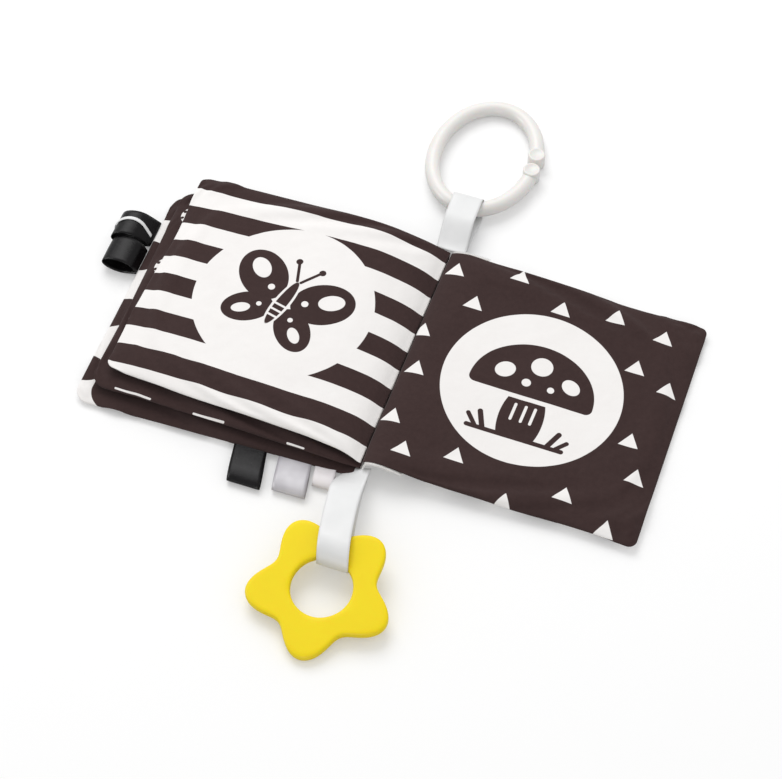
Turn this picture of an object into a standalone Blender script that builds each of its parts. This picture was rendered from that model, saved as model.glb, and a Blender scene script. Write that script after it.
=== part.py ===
"""Soft fabric baby book lying open, with a clip-on ring, a flower teether and satin tags.

Two padded double sheets, sewn along the spine, make four leaves: three lie on the left and the back cover
on the right. Lengths are in metres, +Z is up, +Y runs along the spine to the ring, the left pile is at -X.
"""

import math

import bmesh
import bpy
from mathutils import Matrix, Vector, geometry

MM = 0.001

# Leaves: their size, their place in the pile and how they swell
PAGE_HEIGHT = 133 * MM
BACK_COVER_WIDTH = 131 * MM
FRONT_COVER_WIDTH = 140 * MM
LEAF_2_WIDTH = 134 * MM
LEAF_3_WIDTH = 128 * MM
LEAF_PITCH = 5.7 * MM
LEAF_GAP = 0.3 * MM
CORNER_RADIUS = 5 * MM
CROWN_WIDTH = 22 * MM
CROWN_POWER = 2.4
CROWN_SHARES = (0, 0.015, 0.05, 0.14, 0.32, 0.62, 1)
ROOT_START = 3.2 * MM
ROOT_LENGTH = 32 * MM
ROOT_SHARES = (0, 0.15, 0.31, 0.47, 0.63, 0.81, 1)
SEAM_RISE_SHARE = 0.26
BACK_COVER_FALL = 5.1 * MM
BACK_COVER_FALL_POWER = 1.25
FABRIC = 0.5 * MM
PANEL_GAP = 0.3 * MM
WADDING_START = 12 * MM
WADDING_INSET = 3 * MM
WADDING_ROOT_SHARES = (0, 0.3, 0.6, 1)
WADDING_CROWN_SHARES = (0, 0.1, 0.35, 1)
WADDING_LEAST = 0.3 * MM
LEVELS_BELOW_SPINE = 2
SPINE_HEIGHT = LEVELS_BELOW_SPINE * LEAF_PITCH - LEAF_GAP / 2

# Spine: the sewn fold of both sheets, whipped with thread at its two ends
SEAM_GAP = 0.3 * MM
SEAM_RADIUS = ROOT_START - SEAM_GAP
SEAM_SIDES = 12
OVERLOCK_LENGTH = 6 * MM
OVERLOCK_TURNS = 5
OVERLOCK_THREAD = 0.28 * MM
OVERLOCK_GAP = 0.15 * MM
OVERLOCK_STEPS = 12
OVERLOCK_SIDES = 4
NECK_RADIUS = SEAM_RADIUS - 2 * OVERLOCK_THREAD - OVERLOCK_GAP

# Satin ribbon: every loop starts and ends at a hinge line beside the edge that it is sewn into
SATIN = 0.5 * MM
SEWN_GAP = 0.15 * MM
SEWN_HALF = (SATIN + SEWN_GAP) / 2
EDGE_TO_HINGE = 0.9 * MM
LOOP_STEPS = 22

# Tags: place along the edge, width, reach from the hinge line, half length and half height of the round end.
# The place is counted from the middle of that edge, or as an inset from the page's far edge
BLACK_TAG = {"at": -52 * MM, "width": 16 * MM, "reach": 22.2 * MM, "bulge": 6.5 * MM, "half": 2.4 * MM}
SILVER_TAG = {"at": -30.2 * MM, "width": 16 * MM, "reach": 20.2 * MM, "bulge": 6 * MM, "half": 2.4 * MM}
WHITE_TAG = {"at": -15.6 * MM, "width": 10 * MM, "reach": 12.4 * MM, "bulge": 5 * MM, "half": 2 * MM}
NEAR_SIDE_TAG = {"inset": 53 * MM, "width": 15 * MM, "reach": 17.8 * MM, "bulge": 8.4 * MM, "half": 4.8 * MM}
FAR_SIDE_TAG = {"inset": 35 * MM, "width": 15 * MM, "reach": 17 * MM, "bulge": 8 * MM, "half": 4.6 * MM}
FAR_TAG_SKEW = 4 * MM
SILVER_TAG_SKEW = 2 * MM
TAG_FLOOR_GAP = 0.1 * MM
PIPING_WIDTH = 1.8 * MM
PIPING = 0.4 * MM
PIPING_GAP = 0.2 * MM
PIPING_START = 1.6 * MM
PIPING_SHARE = 0.6
PIPING_AT = -1.5 * MM

# Ring: a round rod bent to an oval, open at one side between two round bosses
RIBBON_WIDTH = 15 * MM
ROD_RADIUS = 3.8 * MM
ROD_SIDES = 14
RING_LONG = 77 * MM
RING_SHORT = 58 * MM
RING_STEPS = 56
RING_GAP_ANGLE = math.radians(12)
BOSS_SPREAD_ANGLE = math.radians(8.6)
BOSS_RADIUS = 4.3 * MM
BOSS_RISE = 0.6 * MM
BOSS_SIDES = 20
RING_RIBBON_LENGTH = 28 * MM
RING_RIBBON_DRIFT = -2.4 * MM
RING_PLAY = 0.9 * MM
RING_FLOOR_GAP = 0.05 * MM

# Teether: a flat flower with five lobes round a finger hole
LOBES = 5
LOBE_REACH = 34 * MM
NOTCH_REACH = 24.4 * MM
HOLE_RADIUS = 14 * MM
TEETHER_THICKNESS = 5 * MM
TEETHER_EDGE = 1.2 * MM
TEETHER_STEPS = 70
EDGE_TURNS = (0, 30, 60, 90)
TEETHER_TILT = math.radians(10)
TEETHER_TURN = math.radians(3)
TEETHER_RIBBON_LENGTH = 46 * MM
TEETHER_RIBBON_DRIFT = 5 * MM
TEETHER_GRIP_SHIFT = 0.6 * MM
TEETHER_BULGE = 9.4 * MM
TEETHER_BULGE_HALF_HEIGHT = 6.6 * MM
TEETHER_FLOOR_GAP = 0.1 * MM


def clear_scene():
    for old in list(bpy.data.objects):
        bpy.data.objects.remove(old, do_unlink=True)


def finish(name, colour, roughness):
    """A plain Principled material, made once for each name."""
    material = bpy.data.materials.get(name)
    if material is None:
        material = bpy.data.materials.new(name)
        material.use_nodes = True
        shader = material.node_tree.nodes["Principled BSDF"]
        shader.inputs["Base Color"].default_value = (*colour, 1)
        shader.inputs["Roughness"].default_value = roughness
        shader.inputs["Metallic"].default_value = 0
    return material


def dark_print():
    return finish("dark_print", (0.052, 0.036, 0.034), 0.8)


def white_cloth():
    return finish("white_cloth", (0.88, 0.86, 0.84), 0.85)


def polyester_wadding():
    return finish("polyester_wadding", (0.9, 0.9, 0.9), 0.95)


def black_satin():
    return finish("black_satin", (0.012, 0.011, 0.011), 0.35)


def silver_satin():
    return finish("silver_satin", (0.62, 0.6, 0.63), 0.35)


def white_satin():
    return finish("white_satin", (0.87, 0.88, 0.88), 0.4)


def white_thread():
    return finish("white_thread", (0.9, 0.89, 0.88), 0.8)


def ring_plastic():
    return finish("ring_plastic", (0.86, 0.85, 0.82), 0.4)


def yellow_silicone():
    return finish("yellow_silicone", (0.91, 0.72, 0.02), 0.5)


def pivot(name, location, parent=None):
    """An empty on a joint's axis, placed from its parent's own position."""
    empty = bpy.data.objects.new(name, None)
    bpy.context.scene.collection.objects.link(empty)
    empty.parent = parent
    empty.location = location
    return empty


def solid(name, points, faces, material, parent, smooth_angle=math.radians(40)):
    """One closed mesh object with its faces turned out."""
    mesh = bpy.data.meshes.new(name)
    mesh.from_pydata([tuple(point) for point in points], [], faces)
    shape = bmesh.new()
    shape.from_mesh(mesh)
    bmesh.ops.recalc_face_normals(shape, faces=shape.faces)
    shape.to_mesh(mesh)
    shape.free()
    mesh.shade_smooth()
    mesh.set_sharp_from_angle(angle=smooth_angle)
    mesh.materials.append(material)
    made = bpy.data.objects.new(name, mesh)
    bpy.context.scene.collection.objects.link(made)
    made.parent = parent
    return made


def skin(name, sections, material, parent, ring=False):
    """Joins a row of like sections: into a closed ring, or with its two ends capped."""
    count = len(sections[0])
    points = [point for section in sections for point in section]
    faces = []
    for i in range(len(sections) if ring else len(sections) - 1):
        here = i * count
        there = (i + 1) % len(sections) * count
        for j in range(count):
            k = (j + 1) % count
            faces.append((here + j, here + k, there + k, there + j))
    if not ring:
        faces.append(tuple(range(count)))
        faces.append(tuple(len(points) - count + j for j in range(count)))
    return solid(name, points, faces, material, parent)


def slab(name, top, bottom, material, parent):
    """A closed plate between two grids of points that have the same rows and columns."""
    rows, columns = len(top), len(top[0])
    points = [point for grid in (top, bottom) for row in grid for point in row]
    under = rows * columns
    faces = []
    for i in range(rows - 1):
        for j in range(columns - 1):
            a = i * columns + j
            quad = (a, a + 1, a + columns + 1, a + columns)
            faces.append(quad)
            faces.append(tuple(under + corner for corner in reversed(quad)))
    rim = [j for j in range(columns)]
    rim += [i * columns + columns - 1 for i in range(1, rows)]
    rim += [(rows - 1) * columns + j for j in range(columns - 2, -1, -1)]
    rim += [i * columns for i in range(rows - 2, 0, -1)]
    for a, b in zip(rim, rim[1:] + rim[:1]):
        faces.append((a, b, under + b, under + a))
    return solid(name, points, faces, material, parent)


def rise(x):
    """How far the leaves have fanned out at a distance from the spine, as a share of their full spread."""
    along = min(max((x - ROOT_START) / (ROOT_LENGTH - ROOT_START), 0), 1)
    return SEAM_RISE_SHARE + (1 - SEAM_RISE_SHARE) * along**2 * (3 - 2 * along)


def swell(distance):
    """A leaf's thickness at a distance from its edge, as a share of its full thickness."""
    left = 1 - min(distance / CROWN_WIDTH, 1)
    return (1 - left**CROWN_POWER) ** (1 / CROWN_POWER)


def corner_cut(distance, radius):
    """How much shorter the page is at a distance from its outer edge, where its corners are round."""
    left = max(radius - distance, 0)
    return radius - math.sqrt(radius**2 - left**2)


def leaf_stations(width, start, inset, root_shares, crown_shares):
    """Rows of (x, y, swell) over a leaf, as far in from its outline as inset."""
    crown = CROWN_WIDTH - inset
    xs = [start + share * (ROOT_LENGTH - start) for share in root_shares]
    xs += [width - inset - share * crown for share in reversed(crown_shares)]
    edge = [share * crown for share in crown_shares]
    rows = []
    for x in xs:
        reach = PAGE_HEIGHT / 2 - inset
        reach -= corner_cut(width - inset - x, CORNER_RADIUS - inset)
        side = [(reach - near, swell(inset + near)) for near in edge]
        across = [(-y, share) for y, share in side] + [(y, share) for y, share in reversed(side)]
        rows.append([(x, y, share * swell(width - x)) for y, share in across])
    return rows


def leaf_half(x, share):
    """Half a leaf's thickness."""
    return (LEAF_PITCH * rise(x) - LEAF_GAP) / 2 * share


def turned_leaf(level):
    """Height of a turned leaf's middle over the spine's axis, where level counts leaves up from that axis."""
    return lambda x: (level + 0.5) * LEAF_PITCH * rise(x)


def back_cover_middle(x):
    """Height of the back cover's middle over the spine's axis: it slopes down to its outer edge."""
    along = (x - ROOT_START) / (BACK_COVER_WIDTH - ROOT_START)
    fall = BACK_COVER_FALL * along**BACK_COVER_FALL_POWER
    return -LEAF_PITCH * SEAM_RISE_SHARE - fall - leaf_half(x, 1)


def fabric_panel(name, width, hand, middle, face, material, parent):
    """One printed face of a leaf: a thin tray whose rim meets the other face's at the leaf's middle."""
    least = PANEL_GAP / 2 + FABRIC
    outer, inner = [], []
    for row in leaf_stations(width, ROOT_START, 0, ROOT_SHARES, CROWN_SHARES):
        outer.append([])
        inner.append([])
        for x, y, share in row:
            high = max(leaf_half(x, share), least)
            outer[-1].append(Vector((hand * x, y, middle(x) + face * high)))
            inner[-1].append(Vector((hand * x, y, middle(x) + face * (high - FABRIC))))
    return slab(name, outer, inner, material, parent)


def wadding(name, width, hand, middle, parent):
    """The filling between a leaf's two faces."""
    top, bottom = [], []
    rows = leaf_stations(width, WADDING_START, WADDING_INSET, WADDING_ROOT_SHARES, WADDING_CROWN_SHARES)
    for row in rows:
        top.append([])
        bottom.append([])
        for x, y, share in row:
            half = max(leaf_half(x, share) - FABRIC - PANEL_GAP, WADDING_LEAST / 2)
            top[-1].append(Vector((hand * x, y, middle(x) + half)))
            bottom[-1].append(Vector((hand * x, y, middle(x) - half)))
    return slab(name, top, bottom, polyester_wadding(), parent)


def spine(parent):
    """The rolled seam between the leaves' roots, with a thread whipped round each of its necks."""
    half = PAGE_HEIGHT / 2
    shoulder = half - OVERLOCK_LENGTH
    profile = (
        (-half, NECK_RADIUS),
        (-shoulder, NECK_RADIUS),
        (-shoulder, SEAM_RADIUS),
        (shoulder, SEAM_RADIUS),
        (shoulder, NECK_RADIUS),
        (half, NECK_RADIUS),
    )
    turns = [2 * math.pi * (i + 0.5) / SEAM_SIDES for i in range(SEAM_SIDES)]
    sections = [[Vector((r * math.cos(t), y, r * math.sin(t))) for t in turns] for y, r in profile]
    skin("spine_seam", sections, white_cloth(), parent)
    for name, end in (("front_overlock_thread", -1), ("back_overlock_thread", 1)):
        overlock(name, end * (shoulder + OVERLOCK_LENGTH / 2), parent)


def circle(centre, out, up, radius, sides, offset=0):
    """Points round a circle in the plane of two directions; offset turns them by a share of one side."""
    turns = [2 * math.pi * (j + offset) / sides for j in range(sides)]
    return [centre + radius * (math.cos(turn) * out + math.sin(turn) * up) for turn in turns]


def overlock(name, middle, parent):
    """A helix of thread round the seam's neck."""
    radius = NECK_RADIUS + OVERLOCK_GAP + OVERLOCK_THREAD
    length = OVERLOCK_LENGTH - 4 * OVERLOCK_THREAD
    steps = OVERLOCK_TURNS * OVERLOCK_STEPS
    sections = []
    for i in range(steps + 1):
        turn = 2 * math.pi * i / OVERLOCK_STEPS
        out = Vector((math.cos(turn), 0, math.sin(turn)))
        centre = out * radius + Vector((0, middle + length * (i / steps - 0.5), 0))
        sections.append(circle(centre, out, Vector((0, 1, 0)), OVERLOCK_THREAD, OVERLOCK_SIDES))
    skin(name, sections, white_thread(), parent)


def loop_path(centre, across, tall, turn=0):
    """The taut (out, up) outline from the upper sewn end, round an oval and back to the lower sewn end."""
    points = [Vector((0, SEWN_HALF)), Vector((0, -SEWN_HALF))]
    lean = Matrix.Rotation(turn, 2)
    for i in range(LOOP_STEPS):
        angle = 2 * math.pi * i / LOOP_STEPS
        points.append(Vector(centre) + lean @ Vector((across * math.cos(angle), tall * math.sin(angle))))
    hull = geometry.convex_hull_2d(points)
    first = hull.index(0)
    order = hull[first:] + hull[:first]
    if order[1] == 1:
        order = order[:1] + order[:0:-1]
    return [points[i] for i in order]


def normal_at(path, i):
    """The outward direction of a loop's path at one of its points."""
    run = (path[min(i + 1, len(path) - 1)] - path[max(i - 1, 0)]).normalized()
    return Vector((-run.y, run.x))


def ribbon(name, path, width, thickness, away, along, material, parent, drift=0, skew=0, side_shift=0):
    """A flat ribbon that follows a path: drift moves it sideways with its reach, skew with its length."""
    lengths = [0]
    for a, b in zip(path, path[1:]):
        lengths.append(lengths[-1] + (b - a).length)
    farthest = max(point.x for point in path)
    sections = []
    for i, point in enumerate(path):
        middle = side_shift + drift * point.x / farthest + skew * (lengths[i] / lengths[-1] - 0.5)
        section = []
        for thick, wide in ((1, -1), (1, 1), (-1, 1), (-1, -1)):
            at = point + normal_at(path, i) * thick * thickness / 2
            section.append(away * at.x + along * (middle + wide * width / 2) + Vector((0, 0, at.y)))
        sections.append(section)
    return skin(name, sections, material, parent)


def tag_path(sizes):
    """A tag's outline: its round end lies on the ground."""
    up = sizes["half"] + TAG_FLOOR_GAP - hinge_height()
    out = sizes["reach"] - sizes["bulge"]
    return loop_path((out, up), sizes["bulge"] - SATIN / 2, sizes["half"] - SATIN / 2)


def tag(name, sizes, hinge, away, along, material, parent, skew=0):
    """A folded satin tag that turns about the hinge line where it is sewn in."""
    base = pivot(name + "_hinge", hinge, parent)
    path = tag_path(sizes)
    ribbon(name, path, sizes["width"], SATIN, away, along, material, base, skew=skew)
    return base


def hinge_height():
    """Height of the front cover's edge seam over the ground."""
    return SPINE_HEIGHT + turned_leaf(-LEVELS_BELOW_SPINE)(ROOT_LENGTH)


def cover_tags(front_cover):
    """Three tags on the front cover's lower edge and two on its outer edge, one with piping over it."""
    down = hinge_height() - SPINE_HEIGHT
    lower = -PAGE_HEIGHT / 2 - EDGE_TO_HINGE
    for name, sizes, material, skew in (
        ("black_tag", BLACK_TAG, black_satin(), 0),
        ("silver_tag", SILVER_TAG, silver_satin(), -SILVER_TAG_SKEW),
        ("white_tag", WHITE_TAG, white_satin(), 0),
    ):
        hinge = Vector((sizes["at"], lower, down))
        tag(name, sizes, hinge, Vector((0, -1, 0)), Vector((1, 0, 0)), material, front_cover, skew)
    outer = -FRONT_COVER_WIDTH - EDGE_TO_HINGE
    for name, sizes, skew in (
        ("near_side_tag", NEAR_SIDE_TAG, 0),
        ("far_side_tag", FAR_SIDE_TAG, FAR_TAG_SKEW),
    ):
        hinge = Vector((outer, PAGE_HEIGHT / 2 - sizes["inset"], down))
        away = Vector((-1, 0, 0))
        base = tag(name, sizes, hinge, away, Vector((0, 1, 0)), black_satin(), front_cover, skew)
    piping(base)


def piping(parent):
    """The narrow white ribbon that lies over the far side tag, from near its sewn end to its round end."""
    over = (SATIN + PIPING) / 2 + PIPING_GAP
    under = tag_path(FAR_SIDE_TAG)
    path = [point + normal_at(under, i) * over for i, point in enumerate(under)]
    path[0] += (path[1] - path[0]).normalized() * PIPING_START
    path = path[: round(len(path) * PIPING_SHARE)]
    away, along = Vector((-1, 0, 0)), Vector((0, 1, 0))
    satin = white_satin()
    ribbon("white_piping", path, PIPING_WIDTH, PIPING, away, along, satin, parent, side_shift=PIPING_AT)


def ring_and_ribbon(book):
    """The ribbon at the far end of the spine and the open ring in it, whose far side is on the ground."""
    hinge = pivot("ring_ribbon_hinge", Vector((0, PAGE_HEIGHT / 2 + EDGE_TO_HINGE, SPINE_HEIGHT)), book)
    long_half = RING_LONG / 2 - ROD_RADIUS
    short_half = RING_SHORT / 2 - ROD_RADIUS
    sagitta = long_half * (1 - math.sqrt(1 - (RIBBON_WIDTH / 2 / short_half) ** 2))
    bight = ROD_RADIUS + sagitta / 2 + RING_PLAY + SATIN / 2
    lift = bight + SATIN / 2 - ROD_RADIUS
    down = ROD_RADIUS + lift + RING_FLOOR_GAP - SPINE_HEIGHT
    path = loop_path((RING_RIBBON_LENGTH, down), bight, bight)
    away, along = Vector((0, 1, 0)), Vector((1, 0, 0))
    reach = max(point.x for point in path)
    drift = RING_RIBBON_DRIFT * reach / RING_RIBBON_LENGTH
    ribbon("ring_ribbon", path, RIBBON_WIDTH, SATIN, away, along, white_satin(), hinge, drift=drift)
    swing = pivot("ring_hinge", Vector((RING_RIBBON_DRIFT, RING_RIBBON_LENGTH, down)), hinge)
    ring = open_ring(long_half, short_half, sagitta, swing)
    ring.rotation_euler = (-math.asin(lift / (2 * long_half - sagitta / 2)), 0, 0)


def open_ring(long_half, short_half, sagitta, parent):
    """The oval rod and its two bosses, with the stretch that the ribbon holds at the parent's position."""
    middle = Vector((0, long_half - sagitta / 2, 0))
    start = RING_GAP_ANGLE + BOSS_SPREAD_ANGLE
    stop = RING_GAP_ANGLE - BOSS_SPREAD_ANGLE + 2 * math.pi
    sections = []
    for i in range(RING_STEPS + 1):
        angle = start + (stop - start) * i / RING_STEPS
        centre = middle + Vector((short_half * math.cos(angle), long_half * math.sin(angle), 0))
        run = Vector((-short_half * math.sin(angle), long_half * math.cos(angle), 0)).normalized()
        out = run.cross(Vector((0, 0, 1)))
        sections.append(circle(centre, out, Vector((0, 0, 1)), ROD_RADIUS, ROD_SIDES, offset=0.5))
    ring = skin("ring", sections, ring_plastic(), parent)
    low = -ROD_RADIUS * math.cos(math.pi / ROD_SIDES)
    for name, angle in (("boss_a", start), ("boss_b", stop)):
        centre = middle + Vector((short_half * math.cos(angle), long_half * math.sin(angle), 0))
        disc = [
            circle(centre + Vector((0, 0, z)), Vector((1, 0, 0)), Vector((0, 1, 0)), BOSS_RADIUS, BOSS_SIDES)
            for z in (low, ROD_RADIUS + BOSS_RISE)
        ]
        add_by_union(ring, skin(name, disc, ring_plastic(), ring))
    return ring


def add_by_union(target, tool):
    tool.hide_render = True
    tool.display_type = "WIRE"
    joined = target.modifiers.new("with_" + tool.name, "BOOLEAN")
    joined.operation = "UNION"
    joined.solver = "EXACT"
    joined.object = tool


def teether_and_ribbon(book):
    """The ribbon at the near end of the spine and the flower teether that leans in its loop."""
    hinge = pivot("teether_ribbon_hinge", Vector((0, -PAGE_HEIGHT / 2 - EDGE_TO_HINGE, SPINE_HEIGHT)), book)
    grip = (HOLE_RADIUS + NOTCH_REACH) / 2 + TEETHER_GRIP_SHIFT
    drop = (LOBE_REACH + grip) * math.sin(TEETHER_TILT)
    height = TEETHER_FLOOR_GAP + drop + TEETHER_THICKNESS / 2 * math.cos(TEETHER_TILT)
    bight = (TEETHER_RIBBON_LENGTH, height - SPINE_HEIGHT)
    across = TEETHER_BULGE - SATIN / 2
    tall = TEETHER_BULGE_HALF_HEIGHT - SATIN / 2
    path = loop_path(bight, across, tall, turn=-TEETHER_TILT)
    reach = max(point.x for point in path)
    drift = TEETHER_RIBBON_DRIFT * reach / TEETHER_RIBBON_LENGTH
    away, along = Vector((0, -1, 0)), Vector((1, 0, 0))
    ribbon("teether_ribbon", path, RIBBON_WIDTH, SATIN, away, along, white_satin(), hinge, drift=drift)
    swing = pivot("teether_hinge", Vector((TEETHER_RIBBON_DRIFT, -bight[0], bight[1])), hinge)
    flower = teether(grip, swing)
    flower.rotation_euler = (TEETHER_TILT, 0, 0)


def flower_reach(angle):
    """Distance from the teether's centre to its outline, with a notch next to the ribbon."""
    mean = (LOBE_REACH + NOTCH_REACH) / 2
    swing = (LOBE_REACH - NOTCH_REACH) / 2
    return mean - swing * math.cos(LOBES * (angle - math.pi / 2 - TEETHER_TURN))


def teether(grip, parent):
    """The flower, with both rims rounded, built round the point where the ribbon grips it."""
    centre = Vector((grip * math.sin(TEETHER_TURN), -grip * math.cos(TEETHER_TURN), 0))
    half = TEETHER_THICKNESS / 2 - TEETHER_EDGE
    sections = []
    for i in range(TEETHER_STEPS):
        angle = 2 * math.pi * i / TEETHER_STEPS
        away = Vector((math.cos(angle), math.sin(angle), 0))
        outer = flower_reach(angle) - TEETHER_EDGE
        hole = HOLE_RADIUS + TEETHER_EDGE
        section = []
        for degrees in EDGE_TURNS:
            turn = math.radians(degrees)
            section.append((outer + TEETHER_EDGE * math.cos(turn), half + TEETHER_EDGE * math.sin(turn)))
        for degrees in reversed(EDGE_TURNS):
            turn = math.radians(degrees)
            section.append((hole - TEETHER_EDGE * math.cos(turn), half + TEETHER_EDGE * math.sin(turn)))
        section += [(r, -z) for r, z in reversed(section)]
        sections.append([centre + away * r + Vector((0, 0, z)) for r, z in section])
    return skin("teether", sections, yellow_silicone(), parent, ring=True)


def leaf(name, width, hand, middle, upper, lower, parent):
    """One padded leaf on the right (1) or left (-1): two printed faces and the wadding between them."""
    fabric_panel(name + "_upper_face", width, hand, middle, 1, upper, parent)
    fabric_panel(name + "_lower_face", width, hand, middle, -1, lower, parent)
    wadding(name + "_wadding", width, hand, middle, parent)


def centre_over_ground(book):
    """Moves the whole book so that the middle of its outline on the ground is the origin."""
    bpy.context.view_layer.update()
    corners = []
    for piece in bpy.data.objects:
        if piece.type == "MESH" and not piece.hide_render:
            corners += [piece.matrix_world @ vertex.co for vertex in piece.data.vertices]
    low = Vector([min(corner[i] for corner in corners) for i in range(3)])
    high = Vector([max(corner[i] for corner in corners) for i in range(3)])
    book.location = (-(low.x + high.x) / 2, -(low.y + high.y) / 2, -low.z)
    bpy.context.view_layer.update()


def build_book():
    clear_scene()
    book = pivot("book", Vector())
    axis = pivot("back_cover_root", Vector((0, 0, SPINE_HEIGHT)), book)
    leaf("back_cover", BACK_COVER_WIDTH, 1, back_cover_middle, dark_print(), white_cloth(), axis)
    spine(axis)
    front_cover = pivot("front_cover_hinge", Vector(), axis)
    leaf("front_cover", FRONT_COVER_WIDTH, -1, turned_leaf(-2), white_cloth(), white_cloth(), front_cover)
    leaf_2 = pivot("leaf_2_hinge", Vector(), front_cover)
    leaf("leaf_2", LEAF_2_WIDTH, -1, turned_leaf(-1), dark_print(), dark_print(), leaf_2)
    leaf_3 = pivot("leaf_3_hinge", Vector(), leaf_2)
    leaf("leaf_3", LEAF_3_WIDTH, -1, turned_leaf(0), white_cloth(), dark_print(), leaf_3)
    cover_tags(front_cover)
    ring_and_ribbon(book)
    teether_and_ribbon(book)
    centre_over_ground(book)


build_book()
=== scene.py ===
"""The soft fabric baby book as it lies in the photo.

Four printed padded leaves, satin loops along their edges, a clip ring and a flower teether. Lengths are
in metres. Shapes are first made in the book's own coordinates: x is the distance from the spine, positive
to the right, y runs along the spine to the ring, z is the height over the ground.
"""

import math
from functools import partial

import bpy
import numpy as np
from mathutils import Matrix, Vector, geometry, noise


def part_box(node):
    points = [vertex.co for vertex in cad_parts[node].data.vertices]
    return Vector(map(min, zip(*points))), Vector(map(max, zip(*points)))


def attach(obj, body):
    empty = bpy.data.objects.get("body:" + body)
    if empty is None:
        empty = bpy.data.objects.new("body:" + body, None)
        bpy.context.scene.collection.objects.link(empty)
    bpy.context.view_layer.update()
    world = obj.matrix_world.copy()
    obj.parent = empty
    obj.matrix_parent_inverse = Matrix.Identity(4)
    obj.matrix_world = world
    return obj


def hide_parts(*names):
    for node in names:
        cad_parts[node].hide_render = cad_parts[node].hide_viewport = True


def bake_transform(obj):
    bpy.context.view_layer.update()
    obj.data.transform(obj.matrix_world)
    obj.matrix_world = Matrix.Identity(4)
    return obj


MM = 0.001

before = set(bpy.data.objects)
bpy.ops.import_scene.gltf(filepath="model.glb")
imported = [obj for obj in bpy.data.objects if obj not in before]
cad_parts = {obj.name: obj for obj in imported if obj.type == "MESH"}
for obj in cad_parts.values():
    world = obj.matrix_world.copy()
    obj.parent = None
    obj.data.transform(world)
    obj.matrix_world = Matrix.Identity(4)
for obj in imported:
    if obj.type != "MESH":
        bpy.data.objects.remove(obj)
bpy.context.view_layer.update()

spine_low, spine_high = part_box("spine_seam")
SPINE_X = (spine_low[0] + spine_high[0]) / 2
SPINE_Y = (spine_low[1] + spine_high[1]) / 2
SPINE_HEIGHT = (spine_low[2] + spine_high[2]) / 2

# Leaves
PAGE_HEIGHT = 133 * MM
BACK_COVER_WIDTH = 131 * MM
FRONT_COVER_WIDTH = 141 * MM
LEAF_2_WIDTH = 136 * MM
LEAF_3_WIDTH = 129 * MM
HEM_TO_MIDDLE = 66.5 * MM
OUTER_HEM = 140 * MM
LEAF_PITCH = 5.7 * MM
LEAF_GAP = 0.3 * MM
LEAF_HALF = (LEAF_PITCH - LEAF_GAP) / 2
PAGE_CLEARANCE = 0.15 * MM
CROWN_WIDTH = 22 * MM
CROWN_POWER = 2.4
CELL = 2.4 * MM
EDGE_CELLS = 11

# Where each leaf's cloth starts beside the spine, and the radius of its outer corners
BACK_COVER_ROOT = 0.2 * MM
FRONT_COVER_ROOT = 1.2 * MM
LEAF_2_ROOT = -0.9 * MM
LEAF_3_ROOT = -0.7 * MM
BACK_COVER_CORNER = 4 * MM
FRONT_COVER_CORNER = 7 * MM
LEAF_2_CORNER = 8 * MM
LEAF_3_CORNER = 4.5 * MM
# A distance from the spine along the back cover's root
BACK_COVER_BEND = 8 * MM

# Height of the pages over the table, from the gutter outwards: (distance, height) in millimetres
LEFT_TOP = (
    (0, 6.4), (2, 7.4), (5, 9.7), (11, 12.4), (17, 14.1), (23, 15.5), (30, 16.6), (45, 17.2), (59, 17.4),
    (95, 17), (141, 16.2),
)
RIGHT_TOP = (
    (0, 7.9), (4, 9.9), (9, 11), (15, 11.1), (26, 10.4), (45, 9.1), (65, 8.1), (90, 6.9),
    (131, 5.7),
)
SPINE_RISE = 2.1 * MM
SPINE_RISE_REACH = 42 * MM
ROOT_BOTTOM = 3.4 * MM
ROOT_LENGTH = 9 * MM
ROOT_SHARE = 0.25
HUMP_LENGTH = 34 * MM
# The right page's near outer corner lifts off the table, and its far one sags a little
CORNER_LIFT = 2.2 * MM
CORNER_SAG = 0.6 * MM
LIFT_START = 45 * MM
LIFT_END = 105 * MM
TABLE_GAP = 0.05 * MM

# Rims of the leaves: (distance from the gutter, distance from the page's middle) in millimetres
RIGHT_FAR = ((0, 66), (10, 66.3), (20, 65.8), (38, 65.7), (85, 65), (118, 64.8), (131, 64.4))
RIGHT_NEAR = ((0, 65.2), (20, 65.4), (48, 64.8), (72, 64.9), (92, 64.2), (112, 64.4), (131, 65.8))
LEAF_3_FAR = ((0, 67.2), (9, 66.8), (24, 66.4), (50, 66.5), (129, 65.6))
LEAF_3_NEAR = ((0, 65), (9, 63.9), (20, 63.5), (45, 62.1), (60, 61.3), (80, 60.4), (99, 58.9), (129, 56.6))
LEAF_3_OUTER = ((-66, 0.6), (-45, 0.8), (-20, 0.8), (0, 0.2), (28, -1.2), (50, -0.4), (66, -0.4))
LEAF_2_FAR = ((0, 65.4), (24, 62.4), (70, 61.8), (138, 57.5))
LEAF_2_NEAR = ((0, 66.6), (10, 67.4), (26, 67.6), (65, 66.4), (103, 65.2), (138, 64.6))
LEAF_2_OUTER = ((-66, -0.6), (-20, -1.6), (20, -0.5), (66, 0))
COVER_FAR = ((0, 65.4), (24, 62.4), (70, 61.8), (141, 57))
COVER_NEAR = ((0, 69), (10, 70.2), (60, 71), (110, 71.6), (141, 72.1))
STRAIGHT = ((-66, 0), (66, 0))

# Ribbons
SATIN = 0.5 * MM
RIBBON_WIDTH = 15 * MM
RIBBON_WAVE = 0.3 * MM
EDGE_TO_HINGE = 0.9 * MM
EDGE_HINGE = PAGE_HEIGHT / 2 + EDGE_TO_HINGE
HINGE_HEIGHT = SPINE_HEIGHT - 1.5 * LEAF_PITCH
SEWN_HALF = 0.325 * MM


def to_row(point):
    """A point of the book, in the row frame."""
    return (point[0] + SPINE_X, point[1] + SPINE_Y, point[2])


def smooth_step(low, high, value):
    along = min(max((value - low) / (high - low), 0), 1)
    return along * along * (3 - 2 * along)


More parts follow.
